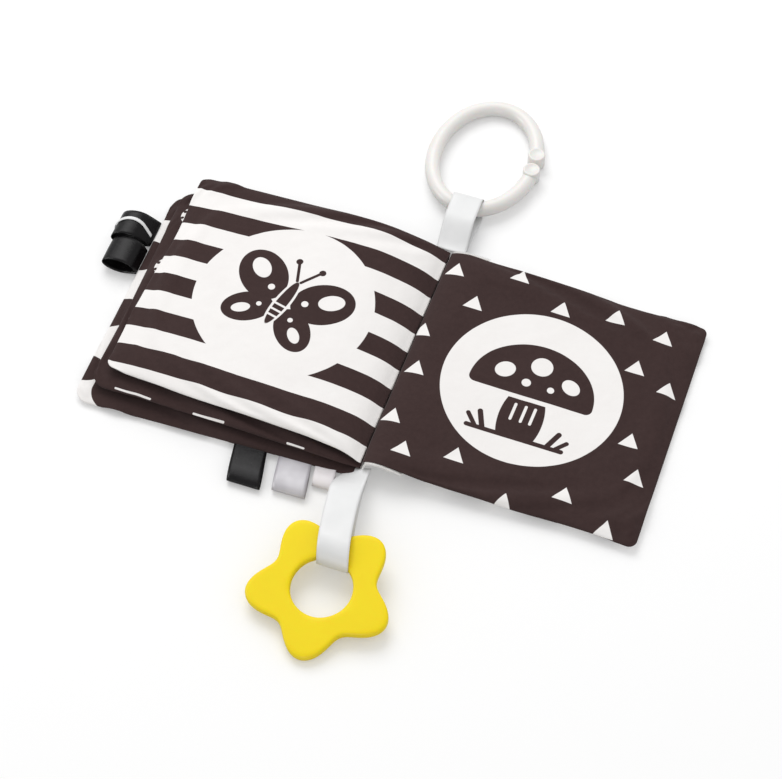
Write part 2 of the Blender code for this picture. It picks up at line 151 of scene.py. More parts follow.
class Number:
    """A number inside a node tree. Sums with it become Math nodes."""

    def __init__(self, tree, socket):
        self.tree = tree
        self.socket = socket

    def made(self, operation, *values):
        node = self.tree.nodes.new("ShaderNodeMath")
        node.operation = operation
        for slot, value in zip(node.inputs, values):
            if isinstance(value, Number):
                self.tree.links.new(value.socket, slot)
            else:
                slot.default_value = value
        return Number(self.tree, node.outputs[0])

    def __add__(self, other):
        return self.made("ADD", self, other)

    __radd__ = __add__

    def __sub__(self, other):
        return self.made("SUBTRACT", self, other)

    def __rsub__(self, other):
        return self.made("SUBTRACT", other, self)

    def __mul__(self, other):
        return self.made("MULTIPLY", self, other)

    __rmul__ = __mul__

    def __truediv__(self, other):
        return self.made("DIVIDE", self, other)

    def __neg__(self):
        return self.made("MULTIPLY", self, -1.0)

    def size(self):
        return self.made("ABSOLUTE", self)

    def root(self):
        return self.made("SQRT", self)

    def sine(self):
        return self.made("SINE", self)

    def cosine(self):
        return self.made("COSINE", self)

    def power(self, exponent):
        return self.made("POWER", self, exponent)

    def part(self):
        """What is left over the whole number."""
        return self.made("FRACT", self)

    def most(self, other):
        return self.made("MAXIMUM", self, other)

    def least(self, other):
        return self.made("MINIMUM", self, other)

    def share(self):
        """Kept between 0 and 1."""
        return self.most(0.0).least(1.0)


def added(tree, kind, links=None, values=None, **settings):
    """A new node with its settings, its plain inputs and its linked inputs."""
    node = tree.nodes.new(kind)
    for key, value in settings.items():
        setattr(node, key, value)
    for key, value in (values or {}).items():
        node.inputs[key].default_value = value
    for key, value in (links or {}).items():
        tree.links.new(value.socket if isinstance(value, Number) else value, node.inputs[key])
    return node


class Finish:
    """A material under construction."""

    def __init__(self, name):
        self.material = bpy.data.materials.new(name)
        self.material.use_nodes = True
        self.tree = self.material.node_tree
        self.shader = self.tree.nodes["Principled BSDF"]

    def add(self, kind, links=None, values=None, **settings):
        return added(self.tree, kind, links, values, **settings)

    def map_position(self, layer="page"):
        """The two coordinates of a UV map, in metres."""
        uv = self.add("ShaderNodeUVMap", uv_map=layer)
        parts = self.add("ShaderNodeSeparateXYZ", {"Vector": uv.outputs["UV"]})
        return Number(self.tree, parts.outputs["X"]), Number(self.tree, parts.outputs["Y"])

    def place(self):
        return self.add("ShaderNodeTexCoord").outputs["Object"]

    def cloud(self, scale, detail=3.0, roughness=0.5, vector=None):
        """Soft noise around 0.5."""
        node = self.add(
            "ShaderNodeTexNoise",
            {"Vector": vector or self.place()},
            {"Scale": scale, "Detail": detail, "Roughness": roughness},
        )
        return Number(self.tree, node.outputs["Fac"])

    def mix(self, share, first, second):
        """One colour blended into another."""
        node = self.add("ShaderNodeMix", {"Factor": share}, data_type="RGBA")
        for slot, value in ((node.inputs[6], first), (node.inputs[7], second)):
            if isinstance(value, tuple):
                slot.default_value = (*value, 1)
            else:
                self.tree.links.new(value, slot)
        return node.outputs[2]

    def set(self, **values):
        for key, value in values.items():
            slot = self.shader.inputs[key.replace("_", " ")]
            if isinstance(value, Number):
                self.tree.links.new(value.socket, slot)
            elif isinstance(value, bpy.types.NodeSocket):
                self.tree.links.new(value, slot)
            elif isinstance(value, tuple):
                slot.default_value = (*value, 1)
            else:
                slot.default_value = value

    def relief(self, height, distance):
        """Small heights over the surface; a second relief lies on the first."""
        values = {"Distance": distance, "Strength": 1.0}
        links = {"Height": height}
        normal = self.shader.inputs["Normal"]
        if normal.is_linked:
            links["Normal"] = normal.links[0].from_socket
        bump = self.add("ShaderNodeBump", links, values)
        self.tree.links.new(bump.outputs["Normal"], normal)


# Prints. Each takes the place on a page and gives 1 where the cloth is dark
PRINT_SOFT = 0.16 * MM


def inside(distance):
    """1 where a distance to an outline is negative."""
    return (0.5 - distance / PRINT_SOFT).share()


def disc(u, v, centre, radius):
    return inside(reach_from(u, v, centre) - radius)


def reach_from(u, v, centre):
    across = u - centre[0]
    up = v - centre[1]
    return (across * across + up * up).root()


def oval(u, v, centre, long_half, short_half, lean):
    """A filled oval whose long axis is turned by lean degrees."""
    turn = math.radians(lean)
    across = u - centre[0]
    up = v - centre[1]
    along = (across * math.cos(turn) + up * math.sin(turn)) / long_half
    aside = (up * math.cos(turn) - across * math.sin(turn)) / short_half
    return inside(((along * along + aside * aside).root() - 1) * short_half)


def bar(u, v, centre, half_length, half_width, lean):
    """A filled bar with round ends."""
    turn = math.radians(lean)
    across = u - centre[0]
    up = v - centre[1]
    along = (across * math.cos(turn) + up * math.sin(turn)).size() - (half_length - half_width)
    aside = up * math.cos(turn) - across * math.sin(turn)
    past = along.most(0.0)
    return inside((past * past + aside * aside).root() - half_width)


def ovals(u, v, rows):
    """One oval for each (x, y, long half, short half, lean), in millimetres and degrees."""
    return [oval(u, v, (x * MM, y * MM), a * MM, b * MM, lean) for x, y, a, b, lean in rows]


def bars(u, v, rows):
    """One bar for each (x, y, half length, half width, lean), in millimetres and degrees."""
    return [bar(u, v, (x * MM, y * MM), a * MM, b * MM, lean) for x, y, a, b, lean in rows]


def joined(*shapes):
    result = shapes[0]
    for shape in shapes[1:]:
        result = result.most(shape)
    return result


def without(shape, *holes):
    result = shape
    for hole in holes:
        result = result * (1 - hole)
    return result


LEFT_DISC = (63 * MM, 1.6 * MM)
LEFT_DISC_RADIUS = 43.5 * MM
STRIPE = 11.2 * MM
STRIPE_AT_SPINE = 11.55 * MM
STRIPE_OUTSIDE = 11 * MM
STRIPES_MIDDLE = 2 * MM


# The butterfly, from its own middle: its right half is drawn, and the left one mirrors it
BUTTERFLY_LEAN = 14
WINGS = ((17, 8.5, 15.5, 11.5, 38), (13, -11.5, 12.5, 8.5, -40))
WING_SPOTS = (
    (20, 11.5, 6.4, 4.3, 38), (9.6, 4.2, 1.7, 1.7, 0), (15.2, -13.6, 4.6, 2.7, -40),
    (9, -7.2, 1.3, 1.3, 0),
)
BODY_GAP = ((0, -1, 15.2, 4.1, 90),)
BODY = ((0, -1, 14, 2.9, 90),)
BODY_BANDS = ((0, -9.5, 4, 0.55, 0), (0, -6, 4, 0.55, 0), (0, -2.5, 4, 0.55, 0))
FEELERS = ((3.6, 18.2, 6.2, 0.75, 62),)
FEELER_TIPS = ((6.6, 23.6, 1.7, 1.7, 0),)


def butterfly(u, v, centre):
    """A dark butterfly with pale spots, seen from above, leaning a little."""
    turn = math.radians(BUTTERFLY_LEAN)
    across = (u - centre[0]) * math.cos(turn) + (v - centre[1]) * math.sin(turn)
    up = (v - centre[1]) * math.cos(turn) - (u - centre[0]) * math.sin(turn)
    side = across.size()
    wings = without(joined(*ovals(side, up, WINGS)), *ovals(side, up, WING_SPOTS))
    body = joined(*ovals(across, up, BODY))
    return joined(
        without(wings, *ovals(across, up, BODY_GAP)),
        without(body, *bars(across, up, BODY_BANDS)),
        without(joined(*bars(side, up, FEELERS)), body),
        *ovals(side, up, FEELER_TIPS),
    )


def striped_page(u, v):
    """Dark and white stripes across the page, and a butterfly in a white disc."""
    row = -v / (2 * STRIPE)
    edge = (row.part() - 0.25).size() - 0.25
    stripes = inside(edge * 2 * STRIPE)
    ring = disc(u, v, LEFT_DISC, LEFT_DISC_RADIUS)
    return joined(without(stripes, ring), butterfly(u, v, LEFT_DISC))


RIGHT_DISC = (62 * MM, 0.0)
RIGHT_DISC_RADIUS = 43 * MM
TRIANGLE_HALF_BASE = 4.8 * MM
TRIANGLE_HEIGHT = 7.8 * MM
# Middles of the triangles on the page, in millimetres
TRIANGLES = (
    (7, 54), (38, 60.5), (21.5, 37), (62, 48.5), (88, 54), (112.5, 50), (3, 14.5), (7.5, -8.5),
    (104.5, 28.5),
    (122, 21.5), (113, -12.5), (121, -31), (40, -48), (16.5, -54), (6, -38), (93, -51.5), (68, -64),
    (115.5, -62),
)


# The toadstool, from its own middle
CAP = ((0, -1, 30, 27, 0),)
CAP_BOTTOM = -1 * MM
CAP_RIM = ((0, -1, 30, 3.2, 0),)
CAP_SPOTS = (
    (-15, 7.5, 5, 4.2, 35), (1, 14.5, 5.2, 5.2, 0), (17, 8, 4.8, 3.8, -35), (-3.5, 3.5, 2.2, 2.2, 0),
    (8.5, 3.2, 1.7, 1.7, 0),
)
STEM = ((0, -17, 20, 10.5, 90),)
STEM_TOP = -6.6 * MM
STEM_FOOT = -27 * MM
STEM_SEAMS = ((-4.5, -14, 5, 0.7, 88), (0.5, -14, 5, 0.7, 88), (5, -14, 5, 0.7, 88))
GRASS = (
    (-17, -23.5, 6, 1.3, 112), (-21.5, -24.5, 4.6, 1.1, 130), (17.5, -23.5, 6, 1.3, 66),
    (22, -25, 4.2, 1.1, 48),
    (0, -28, 24, 1.2, 0),
)


def toadstool(u, v, centre):
    """A dark spotted toadstool with grass at its foot."""
    across = u - centre[0]
    up = v - centre[1]
    dome = joined(*ovals(across, up, CAP)) * inside(CAP_BOTTOM - up)
    cap = without(joined(dome, *bars(across, up, CAP_RIM)), *ovals(across, up, CAP_SPOTS))
    stem = joined(*ovals(across, up, STEM)) * inside(up - STEM_TOP) * inside(STEM_FOOT - up)
    return joined(cap, without(stem, *bars(across, up, STEM_SEAMS)), *bars(across, up, GRASS))


def triangle_page(u, v):
    """A dark page strewn with small white triangles, and a toadstool in a white disc."""
    slope = math.atan2(TRIANGLE_HALF_BASE, TRIANGLE_HEIGHT)
    nearest = None
    for x, y in TRIANGLES:
        across = (u - x * MM).size()
        up = v - y * MM
        flank = across * math.cos(slope) + (up - TRIANGLE_HEIGHT * 2 / 3) * math.sin(slope)
        distance = flank.most(-TRIANGLE_HEIGHT / 3 - up)
        nearest = distance if nearest is None else nearest.least(distance)
    pale = disc(u, v, RIGHT_DISC, RIGHT_DISC_RADIUS)
    marks = toadstool(u, v, (RIGHT_DISC[0], RIGHT_DISC[1] - 1 * MM))
    return joined(without(1 - inside(nearest), pale), marks)


# Leaf 2's upper print: discs that peep out from under the page above, and dashes along the near rim
RINGED_EDGE = 129
RINGED_AT = (43, 8.5, -24.5)
RIM_DASHES = ((113, -64, 9.4, 0.45, 3), (74.5, -65.4, 8, 0.45, 2), (31, -66.8, 4.4, 0.45, 1))


def ringed_page(u, v):
    """A dark page with white discs under the edge of the page above it, each with two dark dots."""
    discs = []
    for y in RINGED_AT:
        dots = [(RINGED_EDGE + 1.2, y + shift, 0.9, 0.9, 0) for shift in (-2.2, 2)]
        whole = ovals(u, v, [(RINGED_EDGE - 3.2, y, 5.6, 5.6, 0)])
        discs.append(without(*whole, *ovals(u, v, dots)))
    return 1 - joined(*discs, *bars(u, v, RIM_DASHES))


DASHES = ((113, -58.8, 9, 1.3, 8), (75, -62.4, 9, 1.3, 4), (27, -65, 9, 1.3, 0), (60, 10, 9, 1.3, 0))


def dashed_page(u, v):
    """A dark page with a few white dashes along its near edge."""
    return 1 - joined(*bars(u, v, DASHES))


# Middles of the pebbles printed on the outside, in millimetres
PEBBLES = (
    (117, -70), (84, -68), (51, -69), (19, -67), (142, -54), (141, -19), (141, 18), (138, 52),
    (104, -38), (66, -36),
    (30, -30), (108, 0), (72, 4), (34, 8), (92, 36), (52, 40), (118, 62), (80, 68), (36, 66),
    (14, 38), (8, -6),
)


def cover_print(u, v):
    """White cloth with a scatter of dark pebbles."""
    rows = []
    for place, (x, y) in enumerate(PEBBLES):
        size = 8.5 + place * 5 % 4
        rows.append((x, y, size + 1.5, size - 1, place * 37 % 60 - 30))
    return joined(*ovals(u, v, rows))


LINING_CORNER = 9 * MM
LINING_REACH = (125 * MM, 63.5 * MM)


def lining_print(u, v):
    """Dark lining inside the cover; the outside's cloth comes over the outer edge."""
    past_u = (u - LINING_REACH[0]).most(0.0)
    past_v = (-LINING_REACH[1] - v).most(0.0)
    corner = (past_u * past_u + past_v * past_v).root() - LINING_CORNER
    return inside(corner).most(cover_print(u, v))


INK = (0.033, 0.0158, 0.015)
INK_WORN = (0.056, 0.031, 0.029)
WHITE = (0.9, 0.878, 0.862)
WHITE_DULL = (0.86, 0.832, 0.815)
WEAVE = 0.42 * MM


def printed_cloth(name, pattern):
    """Brushed polyester with a dark print: fine weave, fibres and a soft sheen."""
    finish = Finish(name)
    u, v = finish.map_position()
    dark = pattern(u, v)
    fibres = finish.cloud(420, 4, 0.7)
    mottle = finish.cloud(45, 3, 0.6)
    white = finish.mix(((mottle - 0.35) * 1.6).share(), WHITE, WHITE_DULL)
    ink = finish.mix(((fibres * 0.7 + mottle * 0.5 - 0.35) * 1.4).share(), INK, INK_WORN)
    finish.set(Base_Color=finish.mix(dark, white, ink))
    finish.set(Roughness=0.82 + fibres * 0.1, Specular_IOR_Level=0.2)
    finish.set(Sheen_Weight=0.08, Sheen_Roughness=0.5)
    lean_u = (u + v) * (math.pi / WEAVE)
    lean_v = (u - v) * (math.pi / WEAVE)
    weave = lean_u.sine() * lean_v.sine()
    finish.relief(weave * 0.5 + fibres, 0.03 * MM)
    finish.relief(finish.cloud(160, 2, 0.5), 0.12 * MM)
    finish.relief(finish.cloud(52, 3, 0.55), 0.5 * MM)
    return finish.material


RIB_PITCH = 0.32 * MM
GRAIN_PITCH = 0.25 * MM


def satin_cloth(name, colour, shade, roughness, specular):
    """Satin ribbon: lengthwise gloss, fine cross ribs and a finer grain along it."""
    finish = Finish(name)
    u, v = finish.map_position("strip")
    threads = finish.cloud(900, 2, 0.6)
    cloud = finish.cloud(70, 2, 0.5)
    # The base colour swings between two tones in random clouds. For the silver satin the swing is wide: its
    # pale blotches are painted reflection and its grey ones painted shade, in place of real gloss bands.
    finish.set(Base_Color=finish.mix(((cloud - 0.3) * 1.8).share(), colour, shade))
    finish.set(Roughness=roughness + threads * 0.08, Anisotropic=0.55, Specular_IOR_Level=specular)
    tangent = finish.add("ShaderNodeTangent", direction_type="UV_MAP", uv_map="strip")
    finish.set(Tangent=tangent.outputs["Tangent"])
    ribs = (v * (2 * math.pi / RIB_PITCH)).sine()
    grain = (u * (2 * math.pi / GRAIN_PITCH)).sine()
    finish.relief(ribs * 0.6 + grain * 0.4 + threads, 0.012 * MM)
    finish.relief(cloud, 0.25 * MM)
    return finish.material


def moulded(name, colour, shade, roughness, grain, scattering, specular):
    """Moulded plastic or silicone with a fine matt grain."""
    finish = Finish(name)
    cloud = finish.cloud(60, 3, 0.5)
    finish.set(Base_Color=finish.mix(((cloud - 0.35) * 1.6).share(), colour, shade))
    finish.set(Roughness=roughness + cloud * 0.1, Specular_IOR_Level=specular)
    if scattering:
        finish.set(Subsurface_Weight=scattering, Subsurface_Scale=2 * MM)
    finish.relief(finish.cloud(1400, 2, 0.5), grain)
    return finish.material


def thread_finish(name, colour):
    """Twisted polyester thread."""
    finish = Finish(name)
    twist = finish.cloud(2500, 2, 0.5)
    finish.set(Base_Color=colour, Roughness=0.6 + twist * 0.2, Sheen_Weight=0.3)
    finish.relief(twist, 0.05 * MM)
    return finish.material


def plain_mesh(name, points, faces, materials, which=None, maps=None):
    """A finished piece at the row frame's origin. Maps hold one (u, v) for each corner of each face."""
    mesh = bpy.data.meshes.new(name)
    mesh.from_pydata([to_row(point) for point in points], [], faces)
    for material in materials:
        mesh.materials.append(material)
    if which is not None:
        mesh.polygons.foreach_set("material_index", which)
    mesh.polygons.foreach_set("use_smooth", [True] * len(mesh.polygons))
    for layer, corners in (maps or {}).items():
        flat = mesh.uv_layers.new(name=layer)
        flat.data.foreach_set("uv", [value for corner in corners for value in corner])
    mesh.update()
    obj = bpy.data.objects.new(name, mesh)
    bpy.context.scene.collection.objects.link(obj)
    return obj


def two_layers(rows, columns):
    """Faces of a sheet with a rim: two grids of points, the second one's after the first one's."""
    back = rows * columns
    faces = []
    for i in range(rows - 1):
        for j in range(columns - 1):
            a = i * columns + j
            faces.append([a, a + columns, a + columns + 1, a + 1])
            faces.append([back + a, back + a + 1, back + a + columns + 1, back + a + columns])
    rim = list(range(columns))
    rim += [i * columns + columns - 1 for i in range(1, rows)]
    rim += [(rows - 1) * columns + j for j in range(columns - 2, -1, -1)]
    rim += [i * columns for i in range(rows - 2, 0, -1)]
    for a, b in zip(rim, rim[1:] + rim[:1]):
        faces.append([a, b, back + b, back + a])
    return faces


def smoothed(obj):
    """Subdivides a piece once for good, and keeps its maps."""
    rounder = obj.modifiers.new("rounder", "SUBSURF")
    rounder.levels = 1
    rounder.render_levels = 1
    rounder.use_limit_surface = False
    return made_plain(obj)


def made_plain(obj):
    """Replaces a piece's mesh by what its modifiers make of it."""
    bpy.context.view_layer.update()
    graph = bpy.context.evaluated_depsgraph_get()
    mesh = bpy.data.meshes.new_from_object(
        obj.evaluated_get(graph), preserve_all_data_layers=True, depsgraph=graph
    )
    obj.modifiers.clear()
    obj.data = mesh
    return obj


# Leaves


def height_along(outline, x):
    """A smooth height through the points of an outline, which hold millimetres."""
    at = max(min(x / MM, outline[-1][0]), outline[0][0])
    k = max(i for i in range(len(outline) - 1) if outline[i][0] <= at)
    before, first, last, after = (outline[min(max(k + i, 0), len(outline) - 1)] for i in (-1, 0, 1, 2))
    span = last[0] - first[0]
    share = (at - first[0]) / span
    leave = (last[1] - before[1]) / (last[0] - before[0]) * span
    arrive = (after[1] - first[1]) / (after[0] - first[0]) * span
    cubic = 2 * share**3 - 3 * share**2
    bend = leave * (share**3 - 2 * share**2 + share) + arrive * (share**3 - share**2)
    return (first[1] * (1 + cubic) - last[1] * cubic + bend) * MM


def spine_rise(x, y):
    """The spine's near end is higher than its far end."""
    return -y / HEM_TO_MIDDLE * SPINE_RISE * (1 - smooth_step(0, SPINE_RISE_REACH, x))


def root_bottom(x):
    """Height of the pile's underside, which rises beside the spine."""
    return ROOT_BOTTOM * (1 - smooth_step(0, ROOT_LENGTH, x))


def turned_leaf(place):
    """Middle and half thickness of one of the three leaves on the left; place 0 is the lowest."""

    def shape(x, y):
        bottom = root_bottom(x)
        pitch = (height_along(LEFT_TOP, x) + spine_rise(x, y) - bottom) / 3
        return bottom + (place + 0.5) * pitch, (pitch - PAGE_CLEARANCE) / 2

    return shape


def back_cover_shape(x, y):
    """Middle and half thickness of the right page: a hump beside the spine, then a slope outwards."""
    half = LEAF_HALF * (ROOT_SHARE + (1 - ROOT_SHARE) * smooth_step(0, HUMP_LENGTH, x))
    lift = -y / PAGE_HEIGHT * CORNER_LIFT * smooth_step(LIFT_START, LIFT_END, x)
    top = height_along(RIGHT_TOP, x) + spine_rise(x, y) + max(lift, -CORNER_SAG)
    return max(top - half, half + TABLE_GAP), half


def swell(distance):
    """Rounded pillow edge: 0 at a sewn edge, 1 where the leaf has its full thickness."""
    short = 1 - min(max(distance / CROWN_WIDTH, 0), 1)
    return max(1 - short**CROWN_POWER, 0) ** (1 / CROWN_POWER)


def edge_steps():
    return [CROWN_WIDTH * (k / EDGE_CELLS) ** 1.75 for k in range(EDGE_CELLS + 1)]


def stations(start, end, start_edge):
    """Places across a leaf, close together where it has a sewn edge."""
    edges = edge_steps()
    low = [start + step for step in edges] if start_edge else [start]
    high = [end - step for step in reversed(edges)]
    count = max(round((high[0] - low[-1]) / CELL), 1)
    between = [low[-1] + (high[0] - low[-1]) * k / count for k in range(1, count)]
    return low + between + high


def page_grid(width, root, rims, corner):
    """Points of one page: columns away from the spine, rows along it, with round outer corners."""
    half = PAGE_HEIGHT / 2
    far_rim, near_rim, outer_rim = rims
    columns = stations(root, width, False)
    rows = stations(-half, half, True)
    grid = []
    for x in columns:
        past = max(x - (width - corner), 0)
        cut = corner - math.sqrt(max(corner**2 - past**2, 0))
        far = height_along(far_rim, x) - cut
        near = -height_along(near_rim, x) + cut
        pull = smooth_step(width / 2, width, x)
        column = []
        for row in rows:
            y = near + (far - near) * (row / PAGE_HEIGHT + 0.5)
            column.append((x + pull * height_along(outer_rim, y), y, x, row))
        grid.append(column)
    return grid


THIN_SHARE = 0.02


def sewn_pillow(width, rims, root, corner):
    """The two sheets of a leaf, sewn together all round: points, faces and which face each belongs to."""
    grid = page_grid(width, root, rims, corner)
    columns, rows = len(grid), len(grid[0])
    half = PAGE_HEIGHT / 2
    points, pages, top, bottom = [], [], {}, {}
    for i in range(columns):
        for j in range(rows):
            x, y, flat_x, flat_y = grid[i][j]
            reach = min(width - flat_x, half - abs(flat_y))
            share = swell(width - flat_x) * swell(half - abs(flat_y))
            rim = i in (0, columns - 1) or j in (0, rows - 1)
            top[i, j] = len(points)
            points.append((x, y, 0 if rim and i else LEAF_HALF * max(share, THIN_SHARE)))
            pages.append((x, y, reach))
            if rim:
                bottom[i, j] = top[i, j]
            else:
                bottom[i, j] = len(points)
                points.append((x, y, -LEAF_HALF * max(share, THIN_SHARE)))
                pages.append((x, y, reach))
    faces, sides = [], []
    for i in range(columns - 1):
        for j in range(rows - 1):
            corners = ((i, j), (i + 1, j), (i + 1, j + 1), (i, j + 1))
            faces.append([top[c] for c in corners])
            sides.append(0)
            faces.append([bottom[c] for c in reversed(corners)])
            sides.append(1)
    return np.array(points), np.array(pages), faces, sides


# The cloth simulation, which works at ten times the size, and how far it may move a point
SIM_SCALE = 10
SIM_FRAMES = 22
SIM_CLOTH = {
    "quality": 6,
    "mass": 0.2,
    "tension_stiffness": 12,
    "compression_stiffness": 12,
    "shear_stiffness": 4,
    "bending_stiffness": 0.08,
    "tension_damping": 8,
    "compression_damping": 8,
    "shear_damping": 8,
    "air_damping": 3,
    "use_pressure": True,
    "uniform_pressure_force": 0.9,
    "vertex_group_mass": "held",
    "pin_stiffness": 1,
    "vertex_group_shrink": "gathered",
    "shrink_min": 0,
    "shrink_max": 0.06,
}
HELD_FROM = 8 * MM
HELD_FULLY = 26 * MM
HELD_ROOT = 10 * MM
GATHERED_TO = 7 * MM
ROUGHNESS = 0.06 * MM
STAYS_FLAT = 0.2 * MM
MOST_ASIDE = 0.25 * MM
MOST_UP = 0.7 * MM


def settled(points, pages, faces, seed):
    """Lets the two sheets find their own puckers along the sewn edges. Works at ten times the size."""
    mesh = bpy.data.meshes.new("settling")
    start = points.copy()
    rough = np.random.default_rng(seed)
    start[:, 2] += rough.normal(0, ROUGHNESS, len(start)) * (np.abs(start[:, 2]) > STAYS_FLAT)
    mesh.from_pydata((start * SIM_SCALE).tolist(), [], faces)
    obj = bpy.data.objects.new("settling", mesh)
    bpy.context.scene.collection.objects.link(obj)
    held = obj.vertex_groups.new(name="held")
    gathered = obj.vertex_groups.new(name="gathered")
    for index, (x, _, reach) in enumerate(pages):
        away = smooth_step(HELD_FROM, HELD_FULLY, reach)
        root = 1 - smooth_step(0, HELD_ROOT, x)
        held.add([index], max(away, root), "REPLACE")
        gathered.add([index], 1 - smooth_step(0, GATHERED_TO, reach), "REPLACE")
    cloth = obj.modifiers.new("cloth", "CLOTH")
    settings = cloth.settings
    for key, value in SIM_CLOTH.items():
        setattr(settings, key, value)
    settings.effector_weights.gravity = 0
    cloth.collision_settings.use_collision = False
    cloth.collision_settings.use_self_collision = False
    cloth.point_cache.frame_start = 1
    cloth.point_cache.frame_end = SIM_FRAMES
    scene = bpy.context.scene
    for number in range(1, SIM_FRAMES + 1):
        scene.frame_set(number)
    graph = bpy.context.evaluated_depsgraph_get()
    result = obj.evaluated_get(graph).to_mesh()
    moved = np.empty(len(points) * 3)
    result.vertices.foreach_get("co", moved)
    moved = moved.reshape(-1, 3) / SIM_SCALE
    obj.evaluated_get(graph).to_mesh_clear()
    bpy.data.objects.remove(obj, do_unlink=True)
    scene.frame_set(1)
    return moved


def quiet(moved, points):
    """Keeps each point near where it was sewn, so that neighbouring leaves don't meet."""
    aside = moved[:, :2] - points[:, :2]
    far = np.linalg.norm(aside, axis=1)
    keep = np.where(far > 0, MOST_ASIDE * np.tanh(far / MOST_ASIDE) / np.maximum(far, 1e-9), 0)
    result = moved.copy()
    result[:, :2] = points[:, :2] + aside * keep[:, None]
    up = moved[:, 2] - points[:, 2]
    result[:, 2] = points[:, 2] + MOST_UP * np.tanh(up / MOST_UP)
    return result


# Shallow dents in the wadding, and finer ones in the cloth
DENTS_PER_METRE = 14
DENT_DEPTH = 0.45 * MM
FINER = 4.1
FINE_DENT_DEPTH = 0.1 * MM
DENTS_FROM_RIM = 20 * MM
DENTS_FROM_ROOT = 12 * MM


def leaf(name, body, hand, width, shape, prints, rims, root, corner, seed):
    """One padded leaf, settled as a flat pillow and then bent to its place in the fan."""
    points, pages, faces, sides = sewn_pillow(width, rims, root, corner)
    points = quiet(settled(points, pages, faces, seed), points)
    placed = []
    for (x, y, up), (_, _, reach) in zip(points, pages):
        middle, half = shape(x, y)
        here = Vector((x * DENTS_PER_METRE, y * DENTS_PER_METRE, seed * 7.3))
        dent = noise.noise(here) * DENT_DEPTH * (1 if up > 0 else 0.5)
        fine = noise.noise(here * FINER) * FINE_DENT_DEPTH
        inwards = smooth_step(0, DENTS_FROM_RIM, reach) * smooth_step(0, DENTS_FROM_ROOT, x)
        side = 1 if up > 0 else -1
        placed.append((hand * x, y, middle + up / LEAF_HALF * half + (dent + fine) * inwards * side))
    if hand < 0:
        faces = [face[::-1] for face in faces]
    printed = [on_print(x, y) if name == "padded_leaf_3" else (x, y) for x, y, _ in pages]
    maps = {"page": [printed[v] for face in faces for v in face]}
    obj = smoothed(plain_mesh(name, placed, faces, prints, sides, maps))
    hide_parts(*[body + part for part in ("_upper_face", "_lower_face", "_wadding")])
    if body == "back_cover":
        start, end = (to_row((x, 0, SPINE_HEIGHT)) for x in (BACK_COVER_ROOT, BACK_COVER_BEND))
        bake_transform(obj)
        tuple(start)
        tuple(end)
    else:
        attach(obj, body)


def on_print(x, y):
    """Place on the striped cloth, which is stretched a little towards the spine."""
    stripe = STRIPE_AT_SPINE + (STRIPE_OUTSIDE - STRIPE_AT_SPINE) * smooth_step(30 * MM, 110 * MM, x)
    return x, (y - STRIPES_MIDDLE) * STRIPE / stripe


def build_leaves():
    stripes = printed_cloth("striped_print", striped_page)
    triangles = printed_cloth("triangle_print", triangle_page)
    dashes = printed_cloth("dashed_print", dashed_page)
    rings = printed_cloth("ringed_print", ringed_page)
    cover = printed_cloth("cover_print", cover_print)
    lining = printed_cloth("lining_print", lining_print)
    leaf("padded_back_cover", "back_cover", 1, BACK_COVER_WIDTH, back_cover_shape, (triangles, cover),
         (RIGHT_FAR, RIGHT_NEAR, STRAIGHT), BACK_COVER_ROOT, BACK_COVER_CORNER, 1)
    leaf("padded_front_cover", "front_cover", -1, FRONT_COVER_WIDTH, turned_leaf(0), (lining, cover),
         (COVER_FAR, COVER_NEAR, STRAIGHT), FRONT_COVER_ROOT, FRONT_COVER_CORNER, 2)
    leaf("padded_leaf_2", "leaf_2", -1, LEAF_2_WIDTH, turned_leaf(1), (rings, dashes),
         (LEAF_2_FAR, LEAF_2_NEAR, LEAF_2_OUTER), LEAF_2_ROOT, LEAF_2_CORNER, 3)
    leaf("padded_leaf_3", "leaf_3", -1, LEAF_3_WIDTH, turned_leaf(2), (stripes, dashes),
         (LEAF_3_FAR, LEAF_3_NEAR, LEAF_3_OUTER), LEAF_3_ROOT, LEAF_3_CORNER, 4)


# Satin loops


def loop_outline(centre, across, tall, turn=0.0, steps=36):
    """The taut (out, up) line from the upper sewn end, round an oval and back to the lower sewn end."""
    points = [Vector((0, SEWN_HALF)), Vector((0, -SEWN_HALF))]
    lean = Matrix.Rotation(turn, 2)
    for i in range(steps):
        angle = 2 * math.pi * i / steps
        points.append(Vector(centre) + lean @ Vector((across * math.cos(angle), tall * math.sin(angle))))
    hull = geometry.convex_hull_2d(points)
    first = hull.index(0)
    order = hull[first:] + hull[:first]
    if order[1] == 1:
        order = order[:1] + order[:0:-1]
    return [points[i] for i in order]


def lengths_along(points):
    """How far along a line each of its points lies."""
    lengths = [0.0]
    for a, b in zip(points, points[1:]):
        lengths.append(lengths[-1] + (b - a).length)
    return lengths


def evenly(points, step):
    """The same line with points at even distances."""
    lengths = lengths_along(points)
    count = max(round(lengths[-1] / step), 2)
    line, at = [], 0
    for k in range(count + 1):
        wanted = lengths[-1] * k / count
        while at < len(lengths) - 2 and lengths[at + 1] < wanted:
            at += 1
        span = max(lengths[at + 1] - lengths[at], 1e-9)
        share = min((wanted - lengths[at]) / span, 1)
        line.append(points[at].lerp(points[at + 1], share))
    return line


